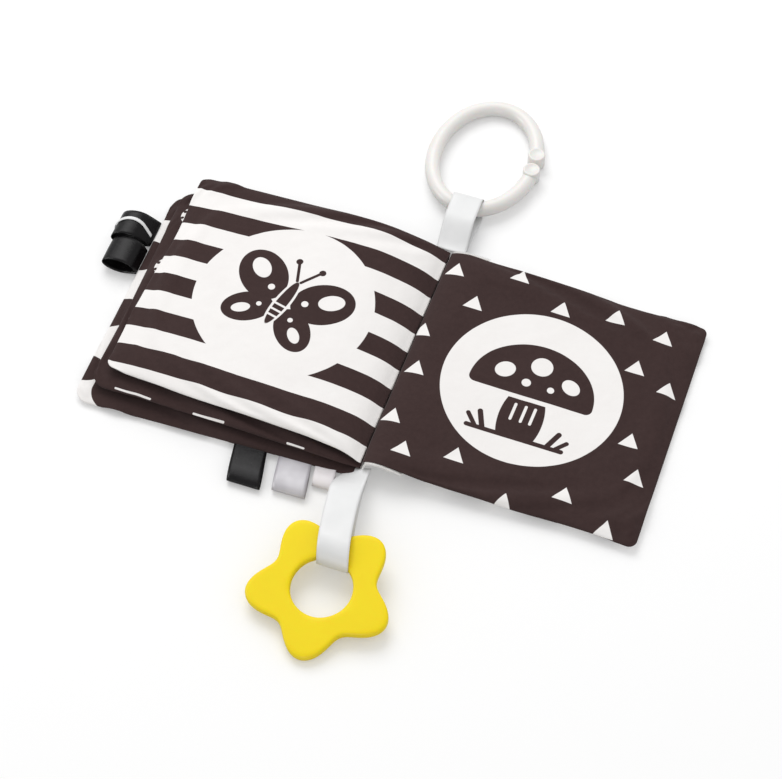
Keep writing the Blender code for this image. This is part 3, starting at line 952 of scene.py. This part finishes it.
def strip(name, centres, along, width, material, thickness=SATIN * 0.7, wave=0.0, seed=0, cells=10):
    """A ribbon round a line of centres, and its length. Along gives the direction of its width."""
    count = len(centres)
    lengths = lengths_along(centres)
    sides = [wide.normalized() for wide in along]
    ups = []
    for i, side in enumerate(sides):
        run = (centres[min(i + 1, count - 1)] - centres[max(i - 1, 0)]).normalized()
        ups.append(run.cross(side).normalized())
    points, places = [], []
    for layer in (1, -1):
        for i, centre in enumerate(centres):
            fade = math.sin(math.pi * i / (count - 1)) ** 0.5 if 0 < i < count - 1 else 0
            for j in range(cells + 1):
                across = (j / cells - 0.5) * width
                ripple = noise.noise(Vector((lengths[i] * 110, across * 60, seed * 3.7))) * wave * fade
                edge = 0.5 if j in (0, cells) else 1
                up = layer * thickness / 2 * edge + ripple
                points.append(centre + sides[i] * across + ups[i] * up)
                places.append((across, lengths[i]))
    faces = two_layers(count, cells + 1)
    maps = {"strip": [places[v] for face in faces for v in face]}
    return plain_mesh(name, points, faces, [material], None, maps), lengths[-1]


# Loops round the front cover's edges, in millimetres: where each is sewn on, how far it reaches out, half
# the length and half the height of its round end, its width, how far its fold lies to the right of its
# sewn end, and how far it runs inside the seam
HEM_TAGS = {
    "black_tag": (-52.4, 23, 6.5, 2.4, 16, 4.4, 3.4),
    "silver_tag": (-30.4, 21.2, 6, 2.4, 16, 3.7, 3),
    "white_tag": (-15.6, 12.8, 4.6, 2, 10, 2.4, 2.4),
}
NEAR_SIDE = (13.5, 17.8, 8.4, 4.8, 15, 0, 0)
FAR_SIDE = (31.5, 19.6, 7.6, 4.9, 15, -2.6, 0)
OUTER_HINGE = -OUTER_HEM - EDGE_TO_HINGE
LOOP_LIFT = 0.1 * MM
LOOP_WAVE = 0.25 * MM
LOOP_STEP = 0.8 * MM


def tag(name, node, sizes, away, material, seed, **extra):
    """A folded satin loop sewn into an edge; its round end rests near the ground."""
    place, reach, bulge, half, width, drift, tuck = (size * MM for size in sizes)
    up = half + LOOP_LIFT - HINGE_HEIGHT
    outline = loop_outline((reach - tuck - bulge, up), bulge - SATIN / 2, half - SATIN / 2)
    if tuck:
        outline = [point + Vector((tuck, 0)) for point in outline]
        outline = [Vector((0, SEWN_HALF))] + outline + [Vector((0, -SEWN_HALF))]
    if away.y:
        wide, at = Vector((1, 0, 0)), Vector((place, -EDGE_HINGE, HINGE_HEIGHT))
    else:
        wide, at = Vector((0, 1, 0)), Vector((OUTER_HINGE, place, HINGE_HEIGHT))
    centres = []
    for point in evenly(outline, LOOP_STEP):
        shift = drift * point.x / reach
        centres.append(at + away * point.x + Vector((0, 0, point.y)) + wide * shift)
    obj, length = strip(name, centres, [wide] * len(centres), width, material, wave=LOOP_WAVE, seed=seed)
    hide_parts(node)
    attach(obj, node)


def build_tags():
    black = satin_cloth("black_satin", (0.004, 0.0035, 0.004), (0.007, 0.006, 0.007), 0.22, 0.2)
    # The silver satin's grey and pale tones, mixed in random clouds, are painted shade and painted
    # reflection standing in for gloss bands.
    silver = satin_cloth("silver_satin", (0.4, 0.385, 0.42), (0.72, 0.7, 0.73), 0.26, 0.9)
    pale = satin_cloth("pale_satin", (0.8, 0.76, 0.775), (0.86, 0.82, 0.83), 0.34, 0.5)
    down, left = Vector((0, -1, 0)), Vector((-1, 0, 0))
    for seed, (node, satin) in enumerate(zip(HEM_TAGS, (black, silver, pale)), 3):
        tag(node + "_loop", node, HEM_TAGS[node], down, satin, seed)
    tag("near_side_loop", "near_side_tag", NEAR_SIDE, left, black, 6)
    tag("far_side_loop", "far_side_tag", FAR_SIDE, left, black, 7, with_pieces=["white_piping_strip"])


PIPING_OVER = 0.3 * MM
PIPING_WIDTH = 1.8 * MM
PIPING_THICKNESS = 0.4 * MM
PIPING_START = -2.4 * MM
PIPING_ARCH = 4.6 * MM
PIPING_SHARE = 0.6


def build_piping(white):
    """The narrow white ribbon over the far side loop."""
    place, reach, bulge, half, _, drift, _ = (size * MM for size in FAR_SIDE)
    up = half + LOOP_LIFT - HINGE_HEIGHT
    outline = loop_outline((reach - bulge, up), bulge + PIPING_OVER, half + PIPING_OVER)
    line = evenly(outline, LOOP_STEP)
    line = line[2 : round(len(line) * PIPING_SHARE)]
    at = Vector((OUTER_HINGE, place, HINGE_HEIGHT))
    centres = []
    for i, point in enumerate(line):
        arch = PIPING_START + PIPING_ARCH * math.sin(math.pi * i / (len(line) - 1))
        centres.append(at + Vector((-point.x, arch + drift * point.x / reach, point.y)))
    along = [Vector((0, 1, 0))] * len(line)
    obj, _ = strip("white_piping_strip", centres, along, PIPING_WIDTH, white, PIPING_THICKNESS, cells=4)
    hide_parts("white_piping")
    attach(obj, "far_side_tag")


# Ring and its ribbon
ROD_RADIUS = 3.8 * MM
RING_LONG_HALF = 38.5 * MM - ROD_RADIUS
RING_SHORT_HALF = 29 * MM - ROD_RADIUS
RING_GAP_ANGLE = 4
BOSS_SPREAD_ANGLE = 8.6
BOSS_RADIUS = 4.3 * MM
RING_RIBBON_LENGTH = 28 * MM
RING_DRIFT = -2.4 * MM
RING_PLAY = 0.9 * MM
RING_RIBBON_DROP = 6.2 * MM
RING_STRAND_SHIFT = 3.4 * MM
RING_STEPS = 160
ROD_SIDES = 28
LED_OVER = 18 * MM


def led_down(drop, out):
    """How far a ribbon lies under the straight line to its hinge, near the pages it comes out of."""
    return drop * (1 - smooth_step(0, LED_OVER, out))


def spine_ribbon(name, node, centres, along, white, hinge, drop, away, seed):
    """A ribbon sewn in at the spine, fixed where it lies."""
    obj, length = strip(name, centres, along, RIBBON_WIDTH, white, wave=RIBBON_WAVE, seed=seed, cells=12)
    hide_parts(node)
    low = hinge - Vector((0, 0, drop))
    to_row(low)
    to_row(low + away * LED_OVER)
    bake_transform(obj)


def ring_numbers():
    """The ring's bow inside the fold, the fold's radius, the ring's height there and its tilt."""
    sagitta = RING_LONG_HALF * (1 - math.sqrt(1 - (RIBBON_WIDTH / 2 / RING_SHORT_HALF) ** 2))
    bight = ROD_RADIUS + sagitta / 2 + RING_PLAY + SATIN / 2
    lift = bight + SATIN / 2 - ROD_RADIUS
    height = ROD_RADIUS + lift + 0.05 * MM
    tilt = -math.asin(lift / (2 * RING_LONG_HALF - sagitta / 2))
    return sagitta, bight, height, tilt


def build_ring(white):
    sagitta, bight, height, tilt = ring_numbers()
    hinge = Vector((0, EDGE_HINGE, SPINE_HEIGHT))
    line = evenly(loop_outline((RING_RIBBON_LENGTH, height - SPINE_HEIGHT), bight, bight), 1 * MM)
    centres = []
    for i, point in enumerate(line):
        out = point.x / RING_RIBBON_LENGTH
        aside = RING_DRIFT * out + RING_STRAND_SHIFT * i / (len(line) - 1) * smooth_step(0, 1, out)
        centres.append(hinge + Vector((aside, point.x, point.y - led_down(RING_RIBBON_DROP, point.x))))
    along = [Vector((-1, 0, 0))] * len(line)
    spine_ribbon("ring_ribbon_loop", "ring_ribbon", centres, along, white, hinge,
                 RING_RIBBON_DROP, Vector((0, 1, 0)), 11)
    plastic = moulded("ring_plastic", (0.81, 0.79, 0.76), (0.84, 0.825, 0.8), 0.32, 0.004 * MM, 0.15, 0.5)
    place = Matrix.Translation(hinge + Vector((RING_DRIFT, RING_RIBBON_LENGTH, height - SPINE_HEIGHT)))
    place = place @ Matrix.Rotation(tilt, 4, "X")
    centre = Vector((0, RING_LONG_HALF - sagitta / 2, 0))
    start = math.radians(RING_GAP_ANGLE + BOSS_SPREAD_ANGLE)
    stop = math.radians(RING_GAP_ANGLE - BOSS_SPREAD_ANGLE) + 2 * math.pi
    points, faces = [], []
    for i in range(RING_STEPS + 1):
        angle = start + (stop - start) * i / RING_STEPS
        at = centre + Vector((RING_SHORT_HALF * math.cos(angle), RING_LONG_HALF * math.sin(angle), 0))
        run = Vector((-RING_SHORT_HALF * math.sin(angle), RING_LONG_HALF * math.cos(angle), 0)).normalized()
        out = run.cross(Vector((0, 0, 1)))
        for j in range(ROD_SIDES):
            turn = 2 * math.pi * j / ROD_SIDES
            rod = ROD_RADIUS * (out * math.cos(turn) + Vector((0, 0, 1)) * math.sin(turn))
            points.append(place @ (at + rod))
    for i in range(RING_STEPS):
        for j in range(ROD_SIDES):
            a = i * ROD_SIDES + j
            b = i * ROD_SIDES + (j + 1) % ROD_SIDES
            faces.append([a, a + ROD_SIDES, b + ROD_SIDES, b])
    faces.append(list(range(ROD_SIDES)))
    faces.append([RING_STEPS * ROD_SIDES + j for j in reversed(range(ROD_SIDES))])
    for angle in (start, stop):
        at = centre + Vector((RING_SHORT_HALF * math.cos(angle), RING_LONG_HALF * math.sin(angle), 0))
        turned_disc(points, faces, place, at)
    obj = plain_mesh("clip_ring", points, faces, [plastic])
    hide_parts("ring")
    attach(obj, "ring")


def turned_disc(points, faces, place, at, sides=40):
    """One boss: a short round post with a raised rim round a shallow dish."""
    top = ROD_RADIUS + 0.6 * MM
    profile = (
        (0, -ROD_RADIUS), (BOSS_RADIUS * 0.86, -ROD_RADIUS), (BOSS_RADIUS, -ROD_RADIUS * 0.8),
        (BOSS_RADIUS, top - 0.5 * MM), (BOSS_RADIUS * 0.93, top - 0.1 * MM), (BOSS_RADIUS * 0.84, top),
        (BOSS_RADIUS * 0.76, top - 0.08 * MM), (BOSS_RADIUS * 0.7, top - 0.28 * MM), (0, top - 0.32 * MM),
    )
    rings = []
    for radius, z in profile:
        if radius == 0:
            rings.append([len(points)])
            points.append(place @ (at + Vector((0, 0, z))))
            continue
        rings.append(list(range(len(points), len(points) + sides)))
        for j in range(sides):
            turn = 2 * math.pi * j / sides
            points.append(place @ (at + Vector((radius * math.cos(turn), radius * math.sin(turn), z))))
    for low, high in zip(rings, rings[1:]):
        for j in range(sides):
            k = (j + 1) % sides
            if len(low) == 1:
                faces.append([low[0], high[k], high[j]])
            elif len(high) == 1:
                faces.append([low[j], low[k], high[0]])
            else:
                faces.append([low[j], low[k], high[k], high[j]])


# Teether and its ribbon
LOBES = 5
LOBE_REACH = 34 * MM
NOTCH_REACH = 24.4 * MM
HOLE_RADIUS = 14 * MM
TEETHER_THICKNESS = 5 * MM
TEETHER_TILT = math.radians(10)
TEETHER_TURN = math.radians(3)
TEETHER_RIBBON_LENGTH = 46 * MM
TEETHER_DRIFT = 5 * MM
TEETHER_START = -1.2 * MM
TEETHER_RIBBON_DROP = 7.2 * MM
SEWN_LEAN = 0.45
SEWN_IN = 1.6 * MM
FIRST_LOBE = math.pi / 2 + TEETHER_TURN + math.pi / LOBES
GRIP = (HOLE_RADIUS + NOTCH_REACH) / 2 + 0.6 * MM
BULGE, BULGE_HALF_HEIGHT = 9.4 * MM, 6.6 * MM


def teether_height():
    drop = (LOBE_REACH + GRIP) * math.sin(TEETHER_TILT)
    return 0.1 * MM + drop + TEETHER_THICKNESS / 2 * math.cos(TEETHER_TILT)


def tree_with(name, inputs):
    """A node tree with a geometry input, a geometry output and named number inputs."""
    tree = bpy.data.node_groups.new(name, "GeometryNodeTree")
    tree.interface.new_socket("Geometry", in_out="INPUT", socket_type="NodeSocketGeometry")
    tree.interface.new_socket("Geometry", in_out="OUTPUT", socket_type="NodeSocketGeometry")
    for title, kind in inputs:
        tree.interface.new_socket(title, in_out="INPUT", socket_type="NodeSocket" + kind)
    return tree, tree.nodes.new("NodeGroupInput"), tree.nodes.new("NodeGroupOutput")


def grown(name, mesh, tree, values):
    """Runs a tree on a mesh with the given inputs, and keeps the result as a plain mesh."""
    obj = bpy.data.objects.new(name, mesh)
    bpy.context.scene.collection.objects.link(obj)
    maker = obj.modifiers.new("maker", "NODES")
    maker.node_group = tree
    for item in tree.interface.items_tree:
        if item.in_out == "INPUT" and item.name in values:
            maker[item.identifier] = values[item.name]
    return made_plain(obj)


def finished(tree, shape, material, result):
    """Leads a shape to the tree's output as one smooth mesh with its material."""
    add = partial(added, tree)
    real = add("GeometryNodeRealizeInstances", {"Geometry": shape.outputs[0]})
    smooth = add("GeometryNodeSetShadeSmooth", {"Geometry": real.outputs[0]})
    dressed = add("GeometryNodeSetMaterial", {"Geometry": smooth.outputs[0]}, {"Material": material})
    tree.links.new(dressed.outputs[0], result.inputs[0])


FLOWER = {
    "Lobes": float(LOBES),
    "Lobe Reach": LOBE_REACH,
    "Notch Reach": NOTCH_REACH,
    "Hole Radius": HOLE_RADIUS,
    "Thickness": TEETHER_THICKNESS,
    "First Lobe": FIRST_LOBE,
}


def flower(silicone):
    """The teether: a flat ring whose outer edge goes in and out in even lobes."""
    tree, given, result = tree_with("flower_ring", [(title, "Float") for title in FLOWER])
    number = {title: Number(tree, given.outputs[title]) for title in FLOWER}
    add = partial(added, tree)
    cells = {"Size X": 1.0, "Size Y": 1.0, "Vertices X": 241, "Vertices Y": 57}
    sheet = add("GeometryNodeMeshGrid", None, cells)
    spot = add("GeometryNodeInputPosition")
    parts = add("ShaderNodeSeparateXYZ", {"Vector": spot.outputs[0]})
    angle = Number(tree, parts.outputs["X"]) * (2 * math.pi)
    turn = Number(tree, parts.outputs["Y"]) * (2 * math.pi)
    reach, notch, hole = number["Lobe Reach"], number["Notch Reach"], number["Hole Radius"]
    lobes = ((angle - number["First Lobe"]) * number["Lobes"]).cosine()
    outer = (reach + notch) * 0.5 + (reach - notch) * 0.5 * lobes
    share = turn.cosine()
    radius = (hole + outer) * 0.5 + (outer - hole) * 0.5 * share
    flat = (1 - share.size().power(9.0)).most(0.0).power(0.25)
    side = turn.sine()
    up = flat * number["Thickness"] * 0.5 * side.made("SIGN", side)
    at = add("ShaderNodeCombineXYZ", {"X": radius * angle.cosine(), "Y": radius * angle.sine(), "Z": up})
    bent = add("GeometryNodeSetPosition", {"Geometry": sheet.outputs["Mesh"], "Position": at.outputs[0]})
    sewn = add("GeometryNodeMergeByDistance", {"Geometry": bent.outputs[0]}, {"Distance": 0.01 * MM})
    finished(tree, sewn, silicone, result)
    return grown("flower_teether", bpy.data.meshes.new("flower_start"), tree, FLOWER)


def build_teether(white):
    height = teether_height()
    hinge = Vector((0, -EDGE_HINGE, SPINE_HEIGHT))
    bight = (TEETHER_RIBBON_LENGTH, height - SPINE_HEIGHT)
    outline = loop_outline(bight, BULGE - SATIN / 2, BULGE_HALF_HEIGHT - SATIN / 2, turn=-TEETHER_TILT)
    outline = [Vector((-SEWN_IN, SEWN_HALF))] + outline + [Vector((-SEWN_IN, -SEWN_HALF))]
    centres, along = [], []
    for point in evenly(outline, 1 * MM):
        out = max(point.x, 0) / TEETHER_RIBBON_LENGTH
        drift = TEETHER_START + (TEETHER_DRIFT - TEETHER_START) * out**1.7
        centres.append(hinge + Vector((drift, -point.x, point.y - led_down(TEETHER_RIBBON_DROP, point.x))))
        along.append(Vector((1, 0, led_down(SEWN_LEAN, point.x))))
    spine_ribbon("teether_ribbon_loop", "teether_ribbon", centres, along, white, hinge,
                 TEETHER_RIBBON_DROP, Vector((0, -1, 0)), 12)
    silicone = moulded("yellow_silicone", (0.93, 0.71, 0.0), (0.96, 0.76, 0.0), 0.46, 0.008 * MM, 0.12, 0.3)
    swing = hinge + Vector((TEETHER_DRIFT, -TEETHER_RIBBON_LENGTH, height - SPINE_HEIGHT))
    place = Matrix.Translation(swing) @ Matrix.Rotation(TEETHER_TILT, 4, "X")
    centre = Vector((GRIP * math.sin(TEETHER_TURN), -GRIP * math.cos(TEETHER_TURN), 0))
    obj = flower(silicone)
    obj.data.transform(Matrix.Translation(to_row((0, 0, 0))) @ place @ Matrix.Translation(centre))
    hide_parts("teether")
    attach(obj, "teether")


# Cloth round the spine: how far it runs under the pages on each side, its gap to them, and the bend
# through which it climbs from the front cover to the back cover
SPINE_CLOTH_LEFT = 9 * MM
SPINE_CLOTH_RIGHT = 20 * MM
SPINE_CLOTH = 0.4 * MM
UNDER_GAP = 0.35 * MM
HUMP_START = 2.8 * MM
BEND_X = (1 * MM, 1.5 * MM, 1.9 * MM)
BEND_LOW = 3.6 * MM
BEND_MIDDLE = 4.6 * MM
PAGE_RIM = 65.3 * MM
# A distance from the spine, on the back cover's side
BENDS_TO = 12 * MM


def spine_line(y):
    """The outer cloth over the spine, from under the front cover up to the hump of the back cover."""
    left = []
    for k in range(10):
        x = SPINE_CLOTH_LEFT * (1 - k / 10)
        left.append((-x, root_bottom(x) - UNDER_GAP))
    right = []
    for k in range(15):
        x = HUMP_START + (SPINE_CLOTH_RIGHT - HUMP_START) * k / 14
        middle, half = back_cover_shape(x, y)
        right.append((x, middle - half * swell(max(PAGE_RIM - abs(y), 0)) - UNDER_GAP))
    bend = list(zip(BEND_X, (BEND_LOW, BEND_MIDDLE, (BEND_MIDDLE + right[0][1]) / 2)))
    return [(x, max(z, UNDER_GAP)) for x, z in left + bend + right]


def spine_end(end):
    """Half length of the spine cloth, on the near side (-1) or the far side (1)."""
    return (66.6 if end > 0 else 66.1) * MM


def sheet_mesh(name, grid, thickness, material):
    """A sheet of cloth through a grid of points, with both faces and its rim, and its length."""
    grid = np.array(grid)
    rows, columns = grid.shape[:2]
    normal = np.cross(np.gradient(grid, axis=0), np.gradient(grid, axis=1))
    normal /= np.linalg.norm(normal, axis=2, keepdims=True)
    layers = [grid + normal * thickness / 2, grid - normal * thickness / 2]
    points = np.concatenate([part.reshape(-1, 3) for part in layers])
    faces = two_layers(rows, columns)
    steps = np.linalg.norm(np.diff(grid[rows // 2], axis=0), axis=1)
    reach = np.concatenate([[0.0], np.cumsum(steps)])
    back = rows * columns
    place = [(float(reach[v % columns]), float(grid[v // columns, 0, 1])) for v in range(back)] * 2
    maps = {"page": [place[v] for face in faces for v in face]}
    return plain_mesh(name, points.tolist(), faces, [material], None, maps), float(reach[-1])


def build_spine():
    """The outer cloth round the spine, whose raw ends are overlocked with white thread."""
    cloth = printed_cloth("spine_cloth", lambda u, v: u * 0.0)
    thread = thread_finish("white_thread", (0.85, 0.84, 0.82))
    rows = 90
    low, high = -spine_end(-1), spine_end(1)
    grid = []
    for i in range(rows + 1):
        y = low + (high - low) * i / rows
        wave = noise.noise(Vector((0.3, y * 60, 1.0))) * 0.1 * MM
        grid.append([(x, y, z + wave) for x, z in spine_line(y)])
    obj, length = sheet_mesh("spine_cloth", grid, SPINE_CLOTH, cloth)
    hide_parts("spine_seam")
    over_spine(obj)
    high - low
    ends = (("near_overlock", "front_overlock_thread", -1), ("far_overlock", "back_overlock_thread", 1))
    for name, node, end in ends:
        obj = overlock(name, end, thread)
        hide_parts(node)
        over_spine(obj)


def over_spine(obj):
    """Fixes a piece that crosses the spine where it lies."""
    start, end = (to_row((x, 0, SPINE_HEIGHT)) for x in (-SPINE_CLOTH_LEFT, BENDS_TO))
    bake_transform(obj)
    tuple(start)
    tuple(end)


# The overlock: distance between stitches, half lengths of a stitch along and through the cloth, the
# thread, how far the stitches lean, and how much their sizes differ
STITCHES = {
    "Pitch": 0.8 * MM,
    "Across": 0.75 * MM,
    "Through": 0.34 * MM,
    "Thread Radius": 0.1 * MM,
    "Lean": math.radians(20),
    "Seed": 3,
}
STITCH_SIZES = {"Min": 0.86, "Max": 1.14}


def overlock(name, end, thread):
    """Loops of thread whipped over one end of the spine cloth."""
    inputs = [(title, "Int" if title == "Seed" else "Float") for title in STITCHES]
    tree, given, result = tree_with(name + "_stitches", inputs)
    add, take = partial(added, tree), given.outputs
    line = add("GeometryNodeMeshToCurve", {"Mesh": take["Geometry"]})
    spacing = {"Curve": line.outputs[0], "Length": take["Pitch"]}
    even = add("GeometryNodeResampleCurve", spacing, mode="LENGTH")
    circle = add("GeometryNodeCurvePrimitiveCircle", None, {"Resolution": 14, "Radius": 1.0}, mode="RADIUS")
    size = add("ShaderNodeCombineXYZ", {"X": take["Through"], "Y": take["Across"]}, {"Z": 1.0})
    lean = add("ShaderNodeCombineXYZ", {"X": take["Lean"]})
    turned = {"Geometry": circle.outputs["Curve"], "Scale": size.outputs[0], "Rotation": lean.outputs[0]}
    stitch = add("GeometryNodeTransform", turned)
    radius = {"Radius": take["Thread Radius"]}
    strand = add("GeometryNodeCurvePrimitiveCircle", radius, {"Resolution": 6}, mode="RADIUS")
    lines = {"Curve": stitch.outputs[0], "Profile Curve": strand.outputs["Curve"]}
    loop = add("GeometryNodeCurveToMesh", lines)
    run = add("GeometryNodeInputTangent")
    facing = add("FunctionNodeAlignEulerToVector", {"Vector": run.outputs[0]}, None, axis="Z")
    vary = add("FunctionNodeRandomValue", {"Seed": take["Seed"]}, None, data_type="FLOAT")
    for slot in vary.inputs:
        if slot.type == "VALUE" and slot.name in STITCH_SIZES:
            slot.default_value = STITCH_SIZES[slot.name]
    amount = [slot for slot in vary.outputs if slot.type == "VALUE"][0]
    rows = {"Points": even.outputs[0], "Instance": loop.outputs[0]}
    placed = add("GeometryNodeInstanceOnPoints", {**rows, "Rotation": facing.outputs[0], "Scale": amount})
    finished(tree, placed, thread, result)
    edge = [to_row((x, end * spine_end(end), z)) for x, z in spine_line(end * spine_end(end))]
    mesh = bpy.data.meshes.new(name + "_line")
    mesh.from_pydata(edge, [(k, k + 1) for k in range(len(edge) - 1)], [])
    return grown(name, mesh, tree, STITCHES)


# Table, light and camera
FLOOR_SHADE = 0.75
FLOOR_GLOW = 0.25
WORLD_GLOW = 0.7
LENS = 110.5
CAMERA_PLACE = (222.62 * MM, -625.34 * MM, 929.53 * MM)
CAMERA_DOWN = 55.29
CAMERA_TURN = 19.1


def build_floor():
    """A white table that shows the book's soft shadow, and is pure white away from it."""
    size, height = 3.0, -0.02 * MM
    mesh = bpy.data.meshes.new("table_top")
    corners = [(-size, -size, height), (size, -size, height), (size, size, height), (-size, size, height)]
    mesh.from_pydata(corners, [], [(0, 1, 2, 3)])
    floor = bpy.data.objects.new("table_top", mesh)
    bpy.context.scene.collection.objects.link(floor)
    material = bpy.data.materials.new("white_table")
    material.use_nodes = True
    tree = material.node_tree
    tree.nodes.clear()
    output = tree.nodes.new("ShaderNodeOutputMaterial")
    paper = tree.nodes.new("ShaderNodeBsdfDiffuse")
    paper.inputs["Color"].default_value = (FLOOR_SHADE, FLOOR_SHADE, FLOOR_SHADE, 1)
    glow = tree.nodes.new("ShaderNodeEmission")
    glow.inputs["Strength"].default_value = FLOOR_GLOW
    both = tree.nodes.new("ShaderNodeAddShader")
    seen = tree.nodes.new("ShaderNodeLightPath")
    choice = tree.nodes.new("ShaderNodeMixShader")
    tree.links.new(paper.outputs[0], both.inputs[0])
    tree.links.new(glow.outputs[0], both.inputs[1])
    tree.links.new(seen.outputs["Is Camera Ray"], choice.inputs[0])
    tree.links.new(paper.outputs[0], choice.inputs[1])
    tree.links.new(both.outputs[0], choice.inputs[2])
    tree.links.new(choice.outputs[0], output.inputs[0])
    mesh.materials.append(material)


def soft_light(name, azimuth, elevation, distance, size, power):
    """A square soft box aimed at the book; azimuth 0 is at the near side, 90 at the right."""
    turn, lift = math.radians(azimuth), math.radians(elevation)
    back = Vector((math.sin(turn) * math.cos(lift), -math.cos(turn) * math.cos(lift), math.sin(lift)))
    data = bpy.data.lights.new(name, "AREA")
    data.size = size
    data.energy = power
    light = bpy.data.objects.new(name, data)
    light.location = back * distance
    light.rotation_euler = (math.pi / 2 - lift, 0, turn)
    bpy.context.scene.collection.objects.link(light)
    return light


def build_light():
    world = bpy.context.scene.world or bpy.data.worlds.new("studio")
    bpy.context.scene.world = world
    world.use_nodes = True
    background = world.node_tree.nodes["Background"]
    background.inputs["Color"].default_value = (1, 1, 1, 1)
    background.inputs["Strength"].default_value = WORLD_GLOW
    soft_light("key_light", azimuth=215, elevation=52, distance=1.6, size=1.1, power=13.0)
    for name, azimuth, elevation in (("left_gloss", -75, 24), ("near_gloss", 8, 14)):
        gloss = soft_light(name, azimuth, elevation, distance=1.1, size=0.16, power=4.0)
        gloss.visible_diffuse = False


def build_camera():
    """Looks down at the book as the photo does."""
    data = bpy.data.cameras.new("photo_camera")
    data.sensor_width = 36
    data.lens = LENS
    data.clip_end = 10
    camera = bpy.data.objects.new("photo_camera", data)
    camera.location = CAMERA_PLACE
    camera.rotation_euler = (math.radians(90 - CAMERA_DOWN), 0, math.radians(CAMERA_TURN))
    bpy.context.scene.collection.objects.link(camera)
    bpy.context.scene.camera = camera
    bpy.context.scene.view_settings.view_transform = "Standard"


build_camera()
build_light()
build_floor()
build_leaves()
build_spine()
white_satin = satin_cloth("white_satin", (0.77, 0.775, 0.775), (0.86, 0.86, 0.86), 0.34, 0.5)
build_piping(white_satin)
build_tags()
build_ring(white_satin)
build_teether(white_satin)
